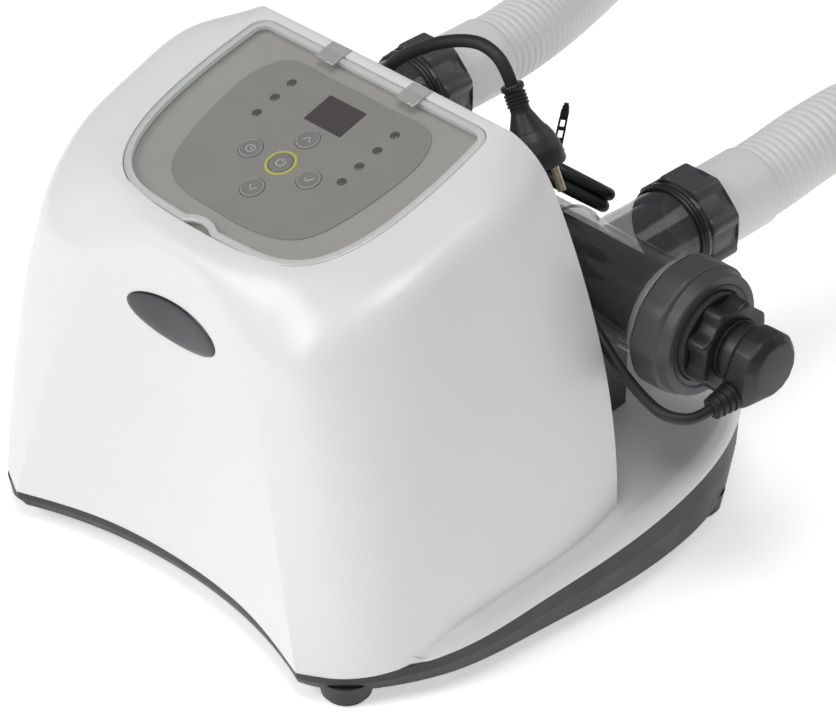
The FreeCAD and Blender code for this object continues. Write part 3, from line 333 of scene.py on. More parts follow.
def natural_spline(points, params):
    """Smooth curve through points, sampled at shares of its chord length."""
    p = np.array([list(v) for v in points], float)
    chord = np.concatenate([[0], np.cumsum(np.linalg.norm(np.diff(p, axis=0), axis=1))])
    n = len(p)
    h = np.diff(chord)
    system = np.zeros((n, n))
    rhs = np.zeros((n, p.shape[1]))
    system[0, 0] = system[-1, -1] = 1
    for i in range(1, n - 1):
        system[i, i - 1], system[i, i], system[i, i + 1] = h[i - 1], 2 * (h[i - 1] + h[i]), h[i]
        rhs[i] = 6 * ((p[i + 1] - p[i]) / h[i] - (p[i] - p[i - 1]) / h[i - 1])
    m = np.linalg.solve(system, rhs)
    out = []
    for t in np.array(params) * chord[-1]:
        i = int(min(max(np.searchsorted(chord, t) - 1, 0), n - 2))
        a, b = chord[i + 1] - t, t - chord[i]
        out.append((m[i] * a ** 3 + m[i + 1] * b ** 3) / (6 * h[i]) + (p[i] / h[i] - m[i] * h[i] / 6) * a
                   + (p[i + 1] / h[i] - m[i + 1] * h[i] / 6) * b)
    return np.array(out)


def resample(points, count):
    """Points evenly along a polyline."""
    p = np.array(points, float)
    chord = np.concatenate([[0], np.cumsum(np.linalg.norm(np.diff(p, axis=0), axis=1))])
    want = np.linspace(0, chord[-1], count)
    return np.stack([np.interp(want, chord, p[:, k]) for k in range(p.shape[1])], 1)


# ---------------------------------------------------------------- white housing

SLOPE = math.radians(16.34)
LID_REAR = (4.0, 270.0)
RISE = 11.0
RIM = [(0, -150), (62, -155.5), (115, -171), (138, -158), (156, -134), (170, -102), (178, -49), (183, 10),
       (182, 59), (177, 91), (165, 125), (145, 152), (112, 167), (0, 171)]
DOME_FOOT = [(0, -150), (62, -155.5), (115, -171), (138, -158), (156, -133), (163, -100), (168, -50),
             (169, 0),
             (165, 26), (0, 28)]
SHOULDER = [(0, -146, 214), (36, -149, 209), (65, -153.5, 196), (100, -151, 199), (118, -128, 215),
            (128, -98, 230), (131, -57, 245), (130, -15, 256), (120, 16.5, 247), (0, 14, 232)]
CROWN = [(0, -134), (36, -133), (62, -129), (78, -121), (89, -105), (94.5, -82), (96, -57), (95, -22),
         (91, 11), (0, 12)]
BULGE = [0, 0, 0, 4, 8, 9, 10, 12, 15, 0]
LID = [(0, -138.5), (34, -137.5), (58, -133.5), (73, -124), (83, -108), (89, -86), (91, -64), (91, -34),
       (89.5, -11.6)]


def lid_corner(end, rear, steps=10):
    """Rounded rear corner of the lid, from the end of its side to its rear edge."""
    radius = rear - end[1]
    return [(end[0] - radius + radius * math.cos(math.pi / 2 * k / steps),
             end[1] + radius * math.sin(math.pi / 2 * k / steps)) for k in range(1, steps + 1)]


def parting_z(y):
    return 40.2 + 0.118 * y


def lid_z(y):
    return LID_REAR[1] + math.tan(SLOPE) * (y - LID_REAR[0])


def sloped(x, along, above):
    return Vector((x, LID_REAR[0] + along * math.cos(SLOPE) - above * math.sin(SLOPE),
                   LID_REAR[1] + along * math.sin(SLOPE) + above * math.cos(SLOPE)))


def dome_points(share):
    ring = []
    for (fx, fy), (sx, sy, sz), bulge in zip(DOME_FOOT, SHOULDER, BULGE):
        out = 4 * share * (1 - share) * bulge
        ring.append((fx + (sx - fx) * share + (out if fx else 0), fy + (sy - fy) * share,
                     parting_z(fy) + (sz - parting_z(fy)) * share))
    return ring


def crown_points(share):
    ring = []
    for (sx, sy, sz), (cx, cy) in zip(SHOULDER, CROWN):
        swell = 4 * share * (1 - share)
        side = min(1.0, sx / 60.0)
        ring.append((sx + (cx - sx) * share + 5 * swell * side,
                     sy + (cy - sy) * share - 3 * swell * (1 - side) * (1 if sy < 0 else -1),
                     sz + (lid_z(cy) - sz) * share + 3 * swell))
    return ring


FRONT_N, SIDE_N, REAR_N = 40, 56, 36


def half_to_columns(front, side, rear):
    """Right half columns from the front middle to the rear middle, mirrored to the whole ring."""
    right = np.vstack([front, side[1:], rear[1:]])
    left = right[-2:0:-1] * np.array([-1.0] + [1.0] * (right.shape[1] - 1))
    return np.vstack([right, left])


def dome_columns(ring):
    """Ring points sampled at the common columns. Front and rear stretches are even about the middle."""
    crease, rear = 2, 8
    mirrored = [(-p[0],) + tuple(p[1:]) for p in ring]
    front = natural_spline(mirrored[crease:0:-1] + ring[:crease + 1], np.linspace(0.5, 1, FRONT_N))
    side = natural_spline(ring[crease:rear + 1], np.linspace(0, 1, SIDE_N))
    back = natural_spline(ring[rear:] + mirrored[-2:rear - 1:-1], np.linspace(0, 0.5, REAR_N))
    return half_to_columns(front, side, back)


def rim_columns(inset, lift):
    ring = []
    for x, y in RIM:
        reach = math.hypot(x, y)
        px, py = x * (1 - inset / reach), y * (1 - inset / reach)
        ring.append((px, py, parting_z(y) + lift))
    mirrored = [(-p[0],) + tuple(p[1:]) for p in ring]
    front = natural_spline(mirrored[2:0:-1] + ring[:3], np.linspace(0.5, 1, FRONT_N))
    rest = natural_spline(ring[2:] + mirrored[-2:10:-1], np.linspace(0, 1, 1201))
    half = rest[:int(np.argmin(np.abs(rest[:, 0]))) + 1]
    split = int(np.argmin(np.abs(half[:, 1] - 47)))
    return half_to_columns(front, resample(half[:split + 1], SIDE_N), resample(half[split:], REAR_N))


def smooth_rows(block, first, last, rounds):
    """Average rows of columns with their neighbours, leaving the ends."""
    for _ in range(rounds):
        inner = block[first:last].copy()
        block[first:last] = 0.5 * inner + 0.25 * (block[first - 1:last - 1] + block[first + 1:last + 1])


def build_housing():
    dome_rows = [dome_columns(dome_points(s)) for s in np.linspace(0, 1, 15)]
    crown_rows = [dome_columns(crown_points(s)) for s in np.linspace(0, 1, 9)]
    columns = dome_rows[0].shape[0]
    rim_heights = np.linspace(0, 1, 14)
    profile_q = [0.0, 1.5, 3.5, 7.0]
    profile_h = [0.0, 0.45 * RISE, 0.82 * RISE, RISE]
    rim_rows = []
    for share in rim_heights:
        lift = RISE * share ** 0.9
        rim_rows.append(rim_columns(float(np.interp(lift, profile_h, profile_q)), lift))
    lower = []
    for j in range(columns):
        wall = np.array([row[j] for row in dome_rows])
        base = parting_z(wall[0][1])
        wall_h = wall[:, 2] - base

        def on_wall(height):
            return np.array([np.interp(height, wall_h, wall[:, k]) for k in range(3)])

        line = []
        for row, share in zip(rim_rows, rim_heights):
            rim_point = row[j]
            wall_point = on_wall(RISE * share ** 0.9)
            outside = np.hypot(*wall_point[:2]) >= np.hypot(*rim_point[:2]) - 0.05
            line.append(wall_point if outside else rim_point)
        top = on_wall(RISE)
        if np.hypot(*(top - line[-1])[:2]) > 0.5:
            line += [line[-1] + (top - line[-1]) * t for t in np.linspace(0.1, 1, 10)]
        line += [on_wall(h) for h in np.linspace(RISE + 2, 40, 10)]
        lower.append(resample(line, 46))
    block = np.array(lower).transpose(1, 0, 2)
    smooth_rows(block, 1, len(block) - 1, 4)
    upper_wall = []
    for j in range(columns):
        wall = np.array([row[j] for row in dome_rows])
        height = wall[:, 2] - parting_z(wall[0][1])
        crown = np.array([row[j] for row in crown_rows])
        keep = [block[-1][j]] + [p for p, h in zip(wall, height) if h > 52] + list(crown[1:])
        upper_wall.append(resample(keep, 58))
    upper = np.array(upper_wall).transpose(1, 0, 2)
    joined = np.concatenate([block[:-1], upper])
    creased = joined.copy()
    smooth_rows(creased, 38, len(joined) - 1, 4)
    smooth_rows(joined, 38, len(joined) - 1, 16)
    for j in range(columns):
        share = min(1.0, max(0.0, (min(j, columns - j) - FRONT_N - 1) / 14.0))
        joined[:, j] = creased[:, j] * (1 - share) + joined[:, j] * share

    def lid_ring(grow, above, pull=0.0):
        right = [(x + (grow if x else 0) * min(1, x / 60.0), y - grow * max(0, 1 - x / 91.0)) for x, y in LID]
        mirrored = [(-x, y) for x, y in right]
        full = natural_spline(mirrored[2:0:-1] + right[:3], np.linspace(0.5, 1, FRONT_N))
        whole = natural_spline(mirrored[:0:-1] + right, np.linspace(0, 1, 1401))
        start = int(np.argmin(np.linalg.norm(whole - np.array(right[2]), axis=1)))
        side = resample(np.vstack([whole[start:], lid_corner(whole[-1], grow - 0.6)]), SIDE_N)
        back = np.stack([np.linspace(side[-1][0], 0, REAR_N), np.full(REAR_N, -0.6 + grow)], 1)
        flat = half_to_columns(full, side, back)
        if pull:
            centre = np.array([0.0, -68.0])
            away = flat - centre
            flat = centre + away * (1 - pull / np.linalg.norm(away, axis=1, keepdims=True))
        return np.array([list(sloped(x, s, above)) for x, s in flat])

    edge = lid_ring(0.6, 0.0)
    outer = joined[-1]
    lip = [outer * (1 - t) + edge * t for t in (0.35, 0.7, 0.9)]
    lip += [lid_ring(0.75, 0.0), lid_ring(0.62, -0.35), lid_ring(0.6, -1.2), lid_ring(0.6, -4.0),
            lid_ring(0.6, -8.2),
            lid_ring(0.5, -8.5), lid_ring(0.0, -8.5, 7.0)]
    rows = np.concatenate([joined, np.array(lip)])
    smooth_rows(rows, len(joined) - 2, len(joined) + 3, 2)
    rings, count = rows.shape[:2]
    piece = mesh_piece("housing_shell", rows.reshape(-1, 3), grid_faces(rings, count),
                       MATERIALS["housing_white"], "root", ("upper_housing",), 34)
    solid = piece.modifiers.new("wall", "SOLIDIFY")
    solid.thickness = 0.0026
    solid.offset = -1
    solid.use_even_offset = False
    return piece, rows


housing, housing_rows = build_housing()


# ---------------------------------------------------------------- hoses, cables and the folded lead

HOSE_RIGHT = [(104, 171.7, 157.5), (104, 208, 157.5), (103, 249, 162), (104, 293, 164), (105, 346, 158),
              (108, 402, 145), (116, 460, 126), (139, 516, 103), (176, 565, 79), (225, 602, 57),
              (281, 625, 39), (341, 633, 28), (401, 625, 23), (458, 602, 23), (506, 565, 23), (543, 516, 23),
              (566, 460, 23), (574, 400, 23.5), (566, 340, 26), (543, 284, 31.5), (506, 235, 31.5)]
HOSE_LEFT = [(-104, 171.7, 157.5), (-104, 208, 157.5), (-111, 251, 157), (-127, 298, 151.5),
             (-149, 343, 140), (-175, 383, 123), (-199, 427, 103), (-215, 479, 81), (-219, 537, 59),
             (-206, 590, 41), (-176, 635, 29), (-133, 669, 24), (-79, 690, 23), (-18, 699, 23),
             (45, 700, 23), (108, 698, 23), (171, 699, 23), (234, 698, 23), (297, 695, 23), (359, 689, 23),
             (420, 676, 24), (478, 654, 31.5), (528, 627, 31.5)]


def cord_curve(name, route, radius=0.0):
    """NURBS curve through a route's points, in metres."""
    curve = bpy.data.curves.new(name, "CURVE")
    curve.dimensions = "3D"
    spline = curve.splines.new("NURBS")
    spline.points.add(len(route) - 1)
    for point, place in zip(spline.points, route):
        point.co = (*[c * MM for c in place], 1)
    spline.order_u = 3
    spline.use_endpoint_u = True
    spline.resolution_u = 12
    curve.bevel_depth = radius * MM
    curve.bevel_resolution = 5
    curve.use_fill_caps = radius > 0
    obj = bpy.data.objects.new(name, curve)
    bpy.context.scene.collection.objects.link(obj)
    return obj


def centre_line(route):
    """Points of the un-bevelled curve, in millimetres."""
    obj = cord_curve("route", route)
    mesh = bpy.data.meshes.new_from_object(obj)
    line = np.array([list(v.co) for v in mesh.vertices]) / MM
    bpy.data.objects.remove(obj)
    bpy.data.meshes.remove(mesh)
    return line


def sweep(line, stations, radii, count=40):
    """Tube round a line: rings at arc-length stations, with the frame carried along without twist."""
    chord = np.concatenate([[0], np.cumsum(np.linalg.norm(np.diff(line, axis=0), axis=1))])
    at = np.stack([np.interp(stations, chord, line[:, k]) for k in range(3)], 1)
    ahead = np.stack([np.interp(np.minimum(stations + 2, chord[-1]), chord, line[:, k]) for k in range(3)], 1)
    behind = np.stack([np.interp(np.maximum(stations - 2, 0), chord, line[:, k]) for k in range(3)], 1)
    ways = ahead - behind
    ways /= np.linalg.norm(ways, axis=1, keepdims=True)
    side = Vector(basis(ways[0])[0])
    verts = []
    angles = np.linspace(0, 2 * math.pi, count, endpoint=False)
    for place, way, radius in zip(at, ways, radii):
        w = Vector(way)
        side = (side - w * side.dot(w)).normalized()
        up = w.cross(side)
        s, u = np.array(side), np.array(up)
        verts += [place + radius * (math.cos(a) * s + math.sin(a) * u) for a in angles]
    return verts, grid_faces(len(stations), count)


def build_hose(side_name, route):
    line = centre_line(route)
    length = float(np.sum(np.linalg.norm(np.diff(line, axis=0), axis=1)))
    stations, radii = [0.0, 0.0], [18.6, 24.2]
    s = 1.0
    smooth_end = 26.0
    while s < smooth_end:
        stations.append(s)
        radii.append(24.3)
        s += 5.0
    for extra, radius in ((0.0, 24.3), (1.2, 24.0), (2.0, 22.6)):
        stations.append(smooth_end + extra)
        radii.append(radius)
    s = smooth_end + 3.0
    pitch = 5.4
    while s + pitch < length - 27:
        for share, radius in ((0.0, 21.9), (0.16, 22.6), (0.34, 23.0), (0.62, 23.0), (0.8, 22.6)):
            stations.append(s + share * pitch)
            radii.append(radius)
        s += pitch
    for station, radius in ((length - 26, 22.4), (length - 25, 23.8), (length - 23, 24.2), (length - 8, 24.2),
                            (length - 0.6, 24.2), (length, 23.8), (length, 18.6)):
        stations.append(station)
        radii.append(radius)
    verts, faces = sweep(line, np.array(stations), radii, 44)
    hose = mesh_piece("hose_skin_" + side_name, verts, faces, MATERIALS["hose_white"], "root",
                      ("hose_" + side_name,), 80)
    return hose


def thumb_grooves(depth, lobes=8, ridge=1.7):
    """Broad scallops between narrow ridges, as a groove's depth at an angle."""
    return lambda angle: depth * (1 - (0.5 - 0.5 * math.cos(lobes * angle)) ** ridge)


def build_nut(name, node, body, at, way, radius, length, bore, eye, bore_deep, depth=4.2,
              material="dark_plastic"):
    groove = thumb_grooves(depth)
    profile = rounded([(0.0, bore), (0.0, radius - 1.9, 0.3), (0.9, radius, 1.0), (length - 1.6, radius, 1.0),
                       (length, radius - 2.6, 0.3), (length, eye), (bore_deep, eye), (bore_deep, bore),
                       (0.0, bore)],
                      0.9, 2)
    verts, faces = lathe(profile, at, way, 160, groove)
    return mesh_piece(name, verts, faces, MATERIALS[material], body, (node,), 38)


for side_name, side in (("right", 1), ("left", -1)):
    build_nut("union_nut_" + side_name, "hose_nut_" + side_name, "nut_" + side_name,
                                (side * 104, 137, 157.5), (0, 1, 0), 31, 22, 28.3, 24.7, 15)
for side_name, mouth, facing in (("right", (484.909, 207.069, 31.500), (-0.602603, -0.798041, 0.000000)),
                                 ("left", (558.797, 610.370, 31.500), (0.879905, -0.475149, 0.000000))):
    build_nut("union_nut_end_" + side_name, "hose_end_nut_" + side_name,
                                         "end_nut_" + side_name, mouth, [-c for c in facing], 31, 22, 28.3,
                                         24.7, 15)
build_nut("lock_ring_skin", "lock_ring", "lock_ring", (193, 70, 157.5), (1, 0, 0), 27, 14, 17.3, 17.3, 7,
          4.4, "black_plastic")
build_hose("right", HOSE_RIGHT)
build_hose("left", HOSE_LEFT)


def build_collar(name, node, body, side):
    profile = rounded([(0, 34.3), (0, 38.2, 0.4), (1.2, 39, 1.0), (15, 39, 1.0), (17, 38.2, 0.4),
                       (17.6, 36.6),
                       (24.2, 35.6), (25, 34.8), (25, 30.5), (24, 29.5), (24, 26.4), (17.4, 26.4),
                       (17.4, 34.3),
                       (0, 34.3)], 0.8, 3)
    verts, faces = lathe(profile, (side * 165, 70, 157.5), (side, 0, 0), 192, thumb_grooves(1.1, 10, 1.2))
    return mesh_piece(name, verts, faces, MATERIALS["dark_plastic"], body, (node,), 40)


build_collar("collar_skin_right", "cell_collar", "collar_right", 1)
build_collar("collar_skin_left", "sensor_collar", "collar_left", -1)


def build_rims():
    """Clear flange at each end of the tube, lightly tinted as a painted highlight for its glints, and the
    thread turns that show in front of the hose nuts.
    """
    rims = [lathe(rounded([(157.5, 29), (157.5, 32.6), (159.5, 33.4), (163.6, 33.4), (163.6, 29),
                           (157.5, 29)], 0.7, 2),
                  (0, 70, 157.5), (side, 0, 0), 96) for side in (-1, 1)]
    verts, faces = merge(rims)
    mesh_piece("tube_rims", verts, faces, MATERIALS["tube_rim_painted_glint"], "root", (), 40)
    turns = []
    for side in (-1, 1):
        for along in (129.6, 132.2, 134.8):
            turns.append(lathe(rounded([(along, 25.3), (along, 26.8), (along + 1.5, 27.6),
                                        (along + 1.9, 25.3),
                                        (along, 25.3)], 0.3, 2), (side * 104, 0, 157.5), (0, 1, 0), 80))
    verts, faces = merge(turns)
    mesh_piece("port_threads", verts, faces, MATERIALS["black_plastic"], "root", (), 40)


build_rims()

OUTLET_WAY = Vector((-0.12, -0.97, -0.2)).normalized()
RELIEF_START = Vector((222, 64, 145)) + OUTLET_WAY * 12
RELIEF_END = RELIEF_START + OUTLET_WAY * 15
CELL_CABLE = [(96, 28.12, 200), (96, 38.6, 200), (99.5, 47, 191.5), (106, 45.5, 181), (115, 40.2, 171.5),
              (126, 36, 163), (138.5, 33, 155.5), (152, 29.5, 149), (167, 25, 144), (183.5, 20.5, 140.8),
              (200.5, 17, 138.8), (211.5, 20.5, 138), tuple(RELIEF_END + OUTLET_WAY * 9.3), tuple(RELIEF_END)]


def build_connector():
    """Right-angle connector: a faceted body, drawn from a drum down to its outlet."""
    bm = bmesh.new()
    side, up, way = basis(OUTLET_WAY)
    for x, radius in ((216.5, 17.5), (219, 20), (231, 20), (235.6, 15.5)):
        for k in range(14):
            a = 2 * math.pi * (k + 0.5) / 14
            bm.verts.new((x, 70 + radius * math.cos(a), 157.5 + radius * math.sin(a)))
    for back, radius in ((0, 8.6), (3, 10.2)):
        centre = RELIEF_START - way * back
        for k in range(10):
            a = 2 * math.pi * k / 10
            bm.verts.new(centre + side * (radius * math.cos(a)) + up * (radius * math.sin(a)))
    hull = bmesh.ops.convex_hull(bm, input=bm.verts[:])
    loose = [v for v in hull["geom_interior"] + hull["geom_unused"] if isinstance(v, bmesh.types.BMVert)]
    bmesh.ops.delete(bm, geom=list(set(loose)), context="VERTS")
    bmesh.ops.dissolve_limit(bm, angle_limit=math.radians(4), verts=bm.verts[:], edges=bm.edges[:])
    bmesh.ops.bevel(bm, geom=bm.edges[:], offset=1.3, segments=3, profile=0.5, affect="EDGES")
    bm.verts.index_update()
    body = ([v.co.copy() for v in bm.verts], [tuple(v.index for v in f.verts) for f in bm.faces])
    bm.free()
    neck = lathe(rounded([(0, 0.2), (0, 16.4), (3, 17), (10, 17), (10, 0.2)], 0.8, 2), (207.6, 70, 157.5),
                 (1, 0, 0))
    verts, faces = merge([body, neck])
    return mesh_piece("elbow", verts, faces, MATERIALS["black_plastic"], "root", ("cell_connector",),
                      35)


elbow = build_connector()


def bevelled_cord(name, route, radius, material, replaced, slot, **facts):
    line = centre_line(route)
    length = float(np.sum(np.linalg.norm(np.diff(line, axis=0), axis=1)))
    cord = cord_curve(name, route, radius)
    cord.data.materials.append(MATERIALS[material])
    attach(cord, "root")
    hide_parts(*replaced)
    return cord, length


bevelled_cord("cell_cable_skin", CELL_CABLE, 3.2, "black_rubber", ["cell_cable"], "black_rubber",
              far_end="connector", stiffness="medium", lay="loose",
              with_pieces=[elbow, NODES["connector_relief"]])

# The folded mains lead: straight out of its gland, six turns round an oval, and over to the plug.
HANK_AT = Vector((0, 87.8, 193.5))
HANK_TURN = Matrix.Rotation(math.radians(-40), 3, "X") @ Matrix.Rotation(math.radians(16), 3, "Z")


def on_hank(x, y, z):
    return HANK_AT + HANK_TURN @ Vector((x, y, z))


def oval_turn(radius, lift, next_radius, next_lift):
    """One turn of the hank from the front straight, anticlockwise, ending on the next turn's place."""
    points = [(x, -radius, lift) for x in (-20, 12, 40)]
    for angle in (-70, -35, 0, 35, 70):
        a = math.radians(angle)
        points.append((53 + radius * math.cos(a), radius * math.sin(a), lift))
    points += [(x, radius, lift) for x in (36, 0, -36)]
    for k, angle in enumerate((110, 145, 180, 215, 250)):
        a = math.radians(angle)
        t = k / 4
        r = radius + (next_radius - radius) * t
        points.append((-53 + r * math.cos(a), r * math.sin(a), lift + (next_lift - lift) * t))
    return points


PLACES = [(29.3, -3.6), (22, -3.7), (14.8, -3.6), (14.8, 3.7), (22, 3.7), (29.3, 3.6)]
turns = []
for (radius, lift), (following, next_lift) in zip(PLACES, PLACES[1:] + [PLACES[-1]]):
    turns += oval_turn(radius, lift, following, next_lift)
PLUG_TOP = Vector((57.5, 50, 268))
PLUG_WAY = Vector((0.46, 0, -0.89)).normalized()
LEAD_WAY = HANK_TURN @ Vector((0, -1, 0))
near, far = on_hank(20, -33, 0), on_hank(-50, -33, 0)
LEAD_IN = [Vector((33.7, 25.62, 222.7)), near + LEAD_WAY * 19.7, near + LEAD_WAY * 4,
           on_hank(22.5, -32.2, -1.8), on_hank(29, -29.8, -3.3)]
LEAD_OUT = [on_hank(-54, -30.2, 3.2), far + LEAD_WAY * 2, far + LEAD_WAY * 10.5, Vector((-31, 39.5, 241)),
            Vector((-21, 39.5, 255)), Vector((-5, 42, 267.5)), Vector((13, 45.5, 278.5)),
            Vector((33, 49, 285)),
            Vector((46, 50, 282)), PLUG_TOP - PLUG_WAY * 8, PLUG_TOP]
TURNS_FROM = next(i for i, p in enumerate(turns) if p[0] > 30)
LEAD = LEAD_IN + [on_hank(*p) for p in turns[TURNS_FROM:]] + LEAD_OUT


def build_plug():
    profile = rounded([(0, 0.6), (0, 5.6), (0.8, 6.6), (3.4, 6.6), (4.2, 5.2), (9, 5.3), (16, 5.6), (24, 9.0),
                       (33, 13.4), (40, 15.3), (41.5, 15.5), (47.6, 15.5), (49, 14.6), (49, 0.6)], 1.2, 3)
    verts, faces = lathe(profile, PLUG_TOP, PLUG_WAY, 72)
    slots_at = (5.4, 7.4, 9.4, 11.4)
    rings = []
    for along in slots_at:
        rings.append(lathe(rounded([(along, 5.0), (along, 6.3), (along + 1.1, 6.3), (along + 1.1, 5.0),
                                    (along, 5.0)], 0.3, 1), PLUG_TOP, PLUG_WAY, 48))
    verts, faces = merge([(verts, faces)] + rings)
    return mesh_piece("plug_skin", verts, faces, MATERIALS["black_plastic"], "root", ("mains_plug",),
                      40)


def build_plug_face():
    """Lighter insert round the plug's waist."""
    profile = rounded([(27.0, 10.0), (27.0, 11.0), (32, 13.4), (38, 15.15), (38.6, 15.2), (38.6, 14.0),
                       (27.0, 10.0)],
                      0.5, 2)
    verts, faces = lathe(profile, PLUG_TOP, PLUG_WAY, 72)
    return mesh_piece("plug_band", verts, faces, MATERIALS["plug_grey"], "root", (), 40)


def box_verts(low, high, bevel=0.6):
    """Box with chamfered edges, as points and faces."""
    bm = bmesh.new()
    bmesh.ops.create_cube(bm, size=1.0)
    for v in bm.verts:
        v.co = Vector([low[k] + (v.co[k] + 0.5) * (high[k] - low[k]) for k in range(3)])
    bmesh.ops.bevel(bm, geom=bm.edges[:], offset=bevel, segments=2, profile=0.6, affect="EDGES")
    verts = [v.co.copy() for v in bm.verts]
    index = {v: i for i, v in enumerate(bm.verts)}
    faces = [tuple(index[v] for v in f.verts) for f in bm.faces]
    bm.free()
    return verts, faces


def moved(part, at, turn=None):
    verts, faces = part
    turn = turn or Matrix.Identity(3)
    return [Vector(at) + turn @ Vector(v) for v in verts], faces


def build_tie():
    """Strap round the hank's front straight, with its head and an upright tail."""
    low_y, high_y, half = -33.0, -11.0, 7.5
    section = [(low_y - 2.0, -half - 2.0), (high_y + 2.0, -half - 2.0), (high_y + 2.0, half + 2.0),
               (low_y - 2.0, half + 2.0)]
    pts = []
    for k, (y, z) in enumerate(section):
        cy, cz = (low_y if y < -22 else high_y), (-half if z < 0 else half)
        start = {0: math.pi, 1: 1.5 * math.pi, 2: 0.0, 3: 0.5 * math.pi}[k]
        for t in range(6):
            a = start + t / 5 * math.pi / 2
            pts.append((cy, cz, a))
    rings = []
    for thick in (0.35, 1.9):
        rings.append([(y + thick * math.cos(a), z + thick * math.sin(a)) for y, z, a in pts])
    verts, faces = [], []
    n = len(pts)
    for ring, x in ((0, 48.3), (1, 48.3), (1, 52.3), (0, 52.3)):
        verts += [on_hank(x, y, z) for y, z in rings[ring]]
    faces = grid_faces(4, n, True)
    strap = (verts, faces)
    head = moved(box_verts((46.9, -26, half + 2.1), (53.8, -18, half + 7.6), 1.0), HANK_AT, HANK_TURN)
    tail_at = on_hank(50.5, -22, half + 6)
    tail_turn = Vector((0, 0, 1)).rotation_difference(Vector((0.2, 0, 1)).normalized()).to_matrix()
    tail_turn = tail_turn @ Matrix.Rotation(math.radians(-45), 3, "Z")
    pieces = [strap, head]
    for low, high in (((-0.65, -2.5, 0), (0.65, 2.5, 7)), ((-0.65, -2.5, 7), (0.65, -1.4, 13)),
                      ((-0.65, 1.4, 7), (0.65, 2.5, 13)), ((-0.65, -2.5, 13), (0.65, 2.5, 15)),
                      ((-0.65, -2.4, 15), (0.65, -1.3, 20.5)), ((-0.65, 1.3, 15), (0.65, 2.4, 20.5)),
                      ((-0.65, -2.3, 20.5), (0.65, 2.3, 27)), ((-0.65, -1.9, 27), (0.65, 1.9, 30)),
                      ((-0.65, -1.3, 30), (0.65, 1.3, 32))):
        pieces.append(moved(box_verts(low, high, 0.2), tail_at, tail_turn))
    verts, faces = merge(pieces)
    return mesh_piece("tie_strap", verts, faces, MATERIALS["black_plastic"], "root", ("cable_tie",),
                      35)


plug = build_plug()
plug_band = build_plug_face()
tie = build_tie()
lead, lead_length = bevelled_cord("mains_lead", LEAD, 3.7, "black_rubber",
                                  ["power_cord_gland_side", "cord_hank", "power_cord_plug_side"],
                                  "black_rubber",
                                  far_end="plug", stiffness="medium", lay="coiled",
                                  with_pieces=[plug, plug_band, NODES["plug_pins"], tie])


# ---------------------------------------------------------------- lid, panel and buttons

def lid_outline(grow=0.0, count=150):
    """Closed outline of the lid in its own plane, with the thumb notch left out."""
    right = [(x + (grow if x else 0) * min(1, x / 60.0), y - grow * max(0, 1 - x / 91.0)) for x, y in LID]
    mirrored = [(-x, y) for x, y in right]
    front = natural_spline(mirrored[:0:-1] + right, np.linspace(0, 1, count))
    corner = lid_corner(front[-1], grow - 0.6)
    reach = corner[-1][0]
    back = [(x, grow - 0.6) for x in np.linspace(reach, -reach, 40)[1:-1]]
    return [tuple(p) for p in front] + corner + back + [(-x, y) for x, y in corner[::-1]]


def plate(outline, low, high, bevel, band):
    """Flat plate with rounded edges and a rim band: rings of a shrinking outline, closed by two faces."""
    pts = np.array(outline)
    nxt, prv = np.roll(pts, -1, 0), np.roll(pts, 1, 0)
    tangent = nxt - prv
    normal = np.stack([tangent[:, 1], -tangent[:, 0]], 1)
    normal /= np.linalg.norm(normal, axis=1, keepdims=True) + 1e-9
    rings = []
    for z, inset in ((low, band), (low, bevel), (low + 0.4 * bevel, 0.3 * bevel), (low + bevel, 0),
                     (high - bevel, 0), (high - 0.4 * bevel, 0.3 * bevel), (high, bevel), (high, band)):
        ring = pts - normal * inset
        rings.append([sloped(x, y, z) for x, y in ring])
    n = len(outline)
    verts = [v for ring in rings for v in ring]
    faces = grid_faces(len(rings), n)
    faces.append(tuple(range(n)))
    faces.append(tuple(range((len(rings) - 1) * n, len(rings) * n)))
    return verts, faces


def build_lid():
    outline = lid_outline()
    notch = []
    for x, y in outline:
        reach = math.hypot(x, y + 150.5)
        if reach < 16.0:
            y = -150.5 + math.sqrt(max(0.0, 256.0 - x * x))
        notch.append((x, y))
    verts, faces = plate(notch, -2.6, 0.0, 0.7, 4.2)
    edge_faces = len(faces) - 2
    # The rim band and edge faces take the second, whiter material: a painted highlight along the lid's edge.
    return mesh_piece("lid_sheet", verts, faces, [MATERIALS["clear_lid"], MATERIALS["lid_edge_painted_highlight"]], "lid",
                      ("clear_lid",), 40, [1] * edge_faces + [0, 0])


lid = build_lid()


def overlay_material():
    """Printed membrane: warm grey film with a darker field and fine speckle."""
    s = Shader("overlay_grey")
    base = linear(134, 131, 127)
    tone = s.ramp(s.noise(30.0, 4.0), [(0.3, shade(base, 0.95)), (0.7, shade(base, 1.05))])
    s.link(tone, "Base Color")
    s.link(s.remap(s.noise(90.0, 4.0), 0.36, 0.5), "Roughness")
    s.bump(s.noise(1700.0, 2.0), 0.3, 0.00002)
    return s.mat


MATERIALS["overlay_grey"] = overlay_material()
NODES["panel_overlay"].data.materials[0] = MATERIALS["overlay_grey"]
NODES["base_tray"].data.materials[0] = MATERIALS["tray_grey"]
MATERIALS["print_light"] = plastic("print_light", (196, 194, 188), 0.4, 0.03)
MATERIALS["ring_lime"] = plastic("ring_lime", (188, 190, 66), 0.4, 0.05)
MATERIALS["button_film"] = plastic("button_film", (118, 116, 113), 0.42, 0.04)

BUTTONS = {"rear": (0, -54.8), "left": (-22.5, -76.6), "right": (22.5, -76.6), "front": (0, -97.5),
           "power": (0, -75.6)}
BUTTON_TOP = -5.7 + 0.6 + 0.7


def slope_lathe(profile, x, s, count=48):
    """Revolved piece standing square to the panel, its profile measured above the lid's plane."""
    return lathe(profile, sloped(x, s, 0), sloped(0, 0, 1) - sloped(0, 0, 0), count)


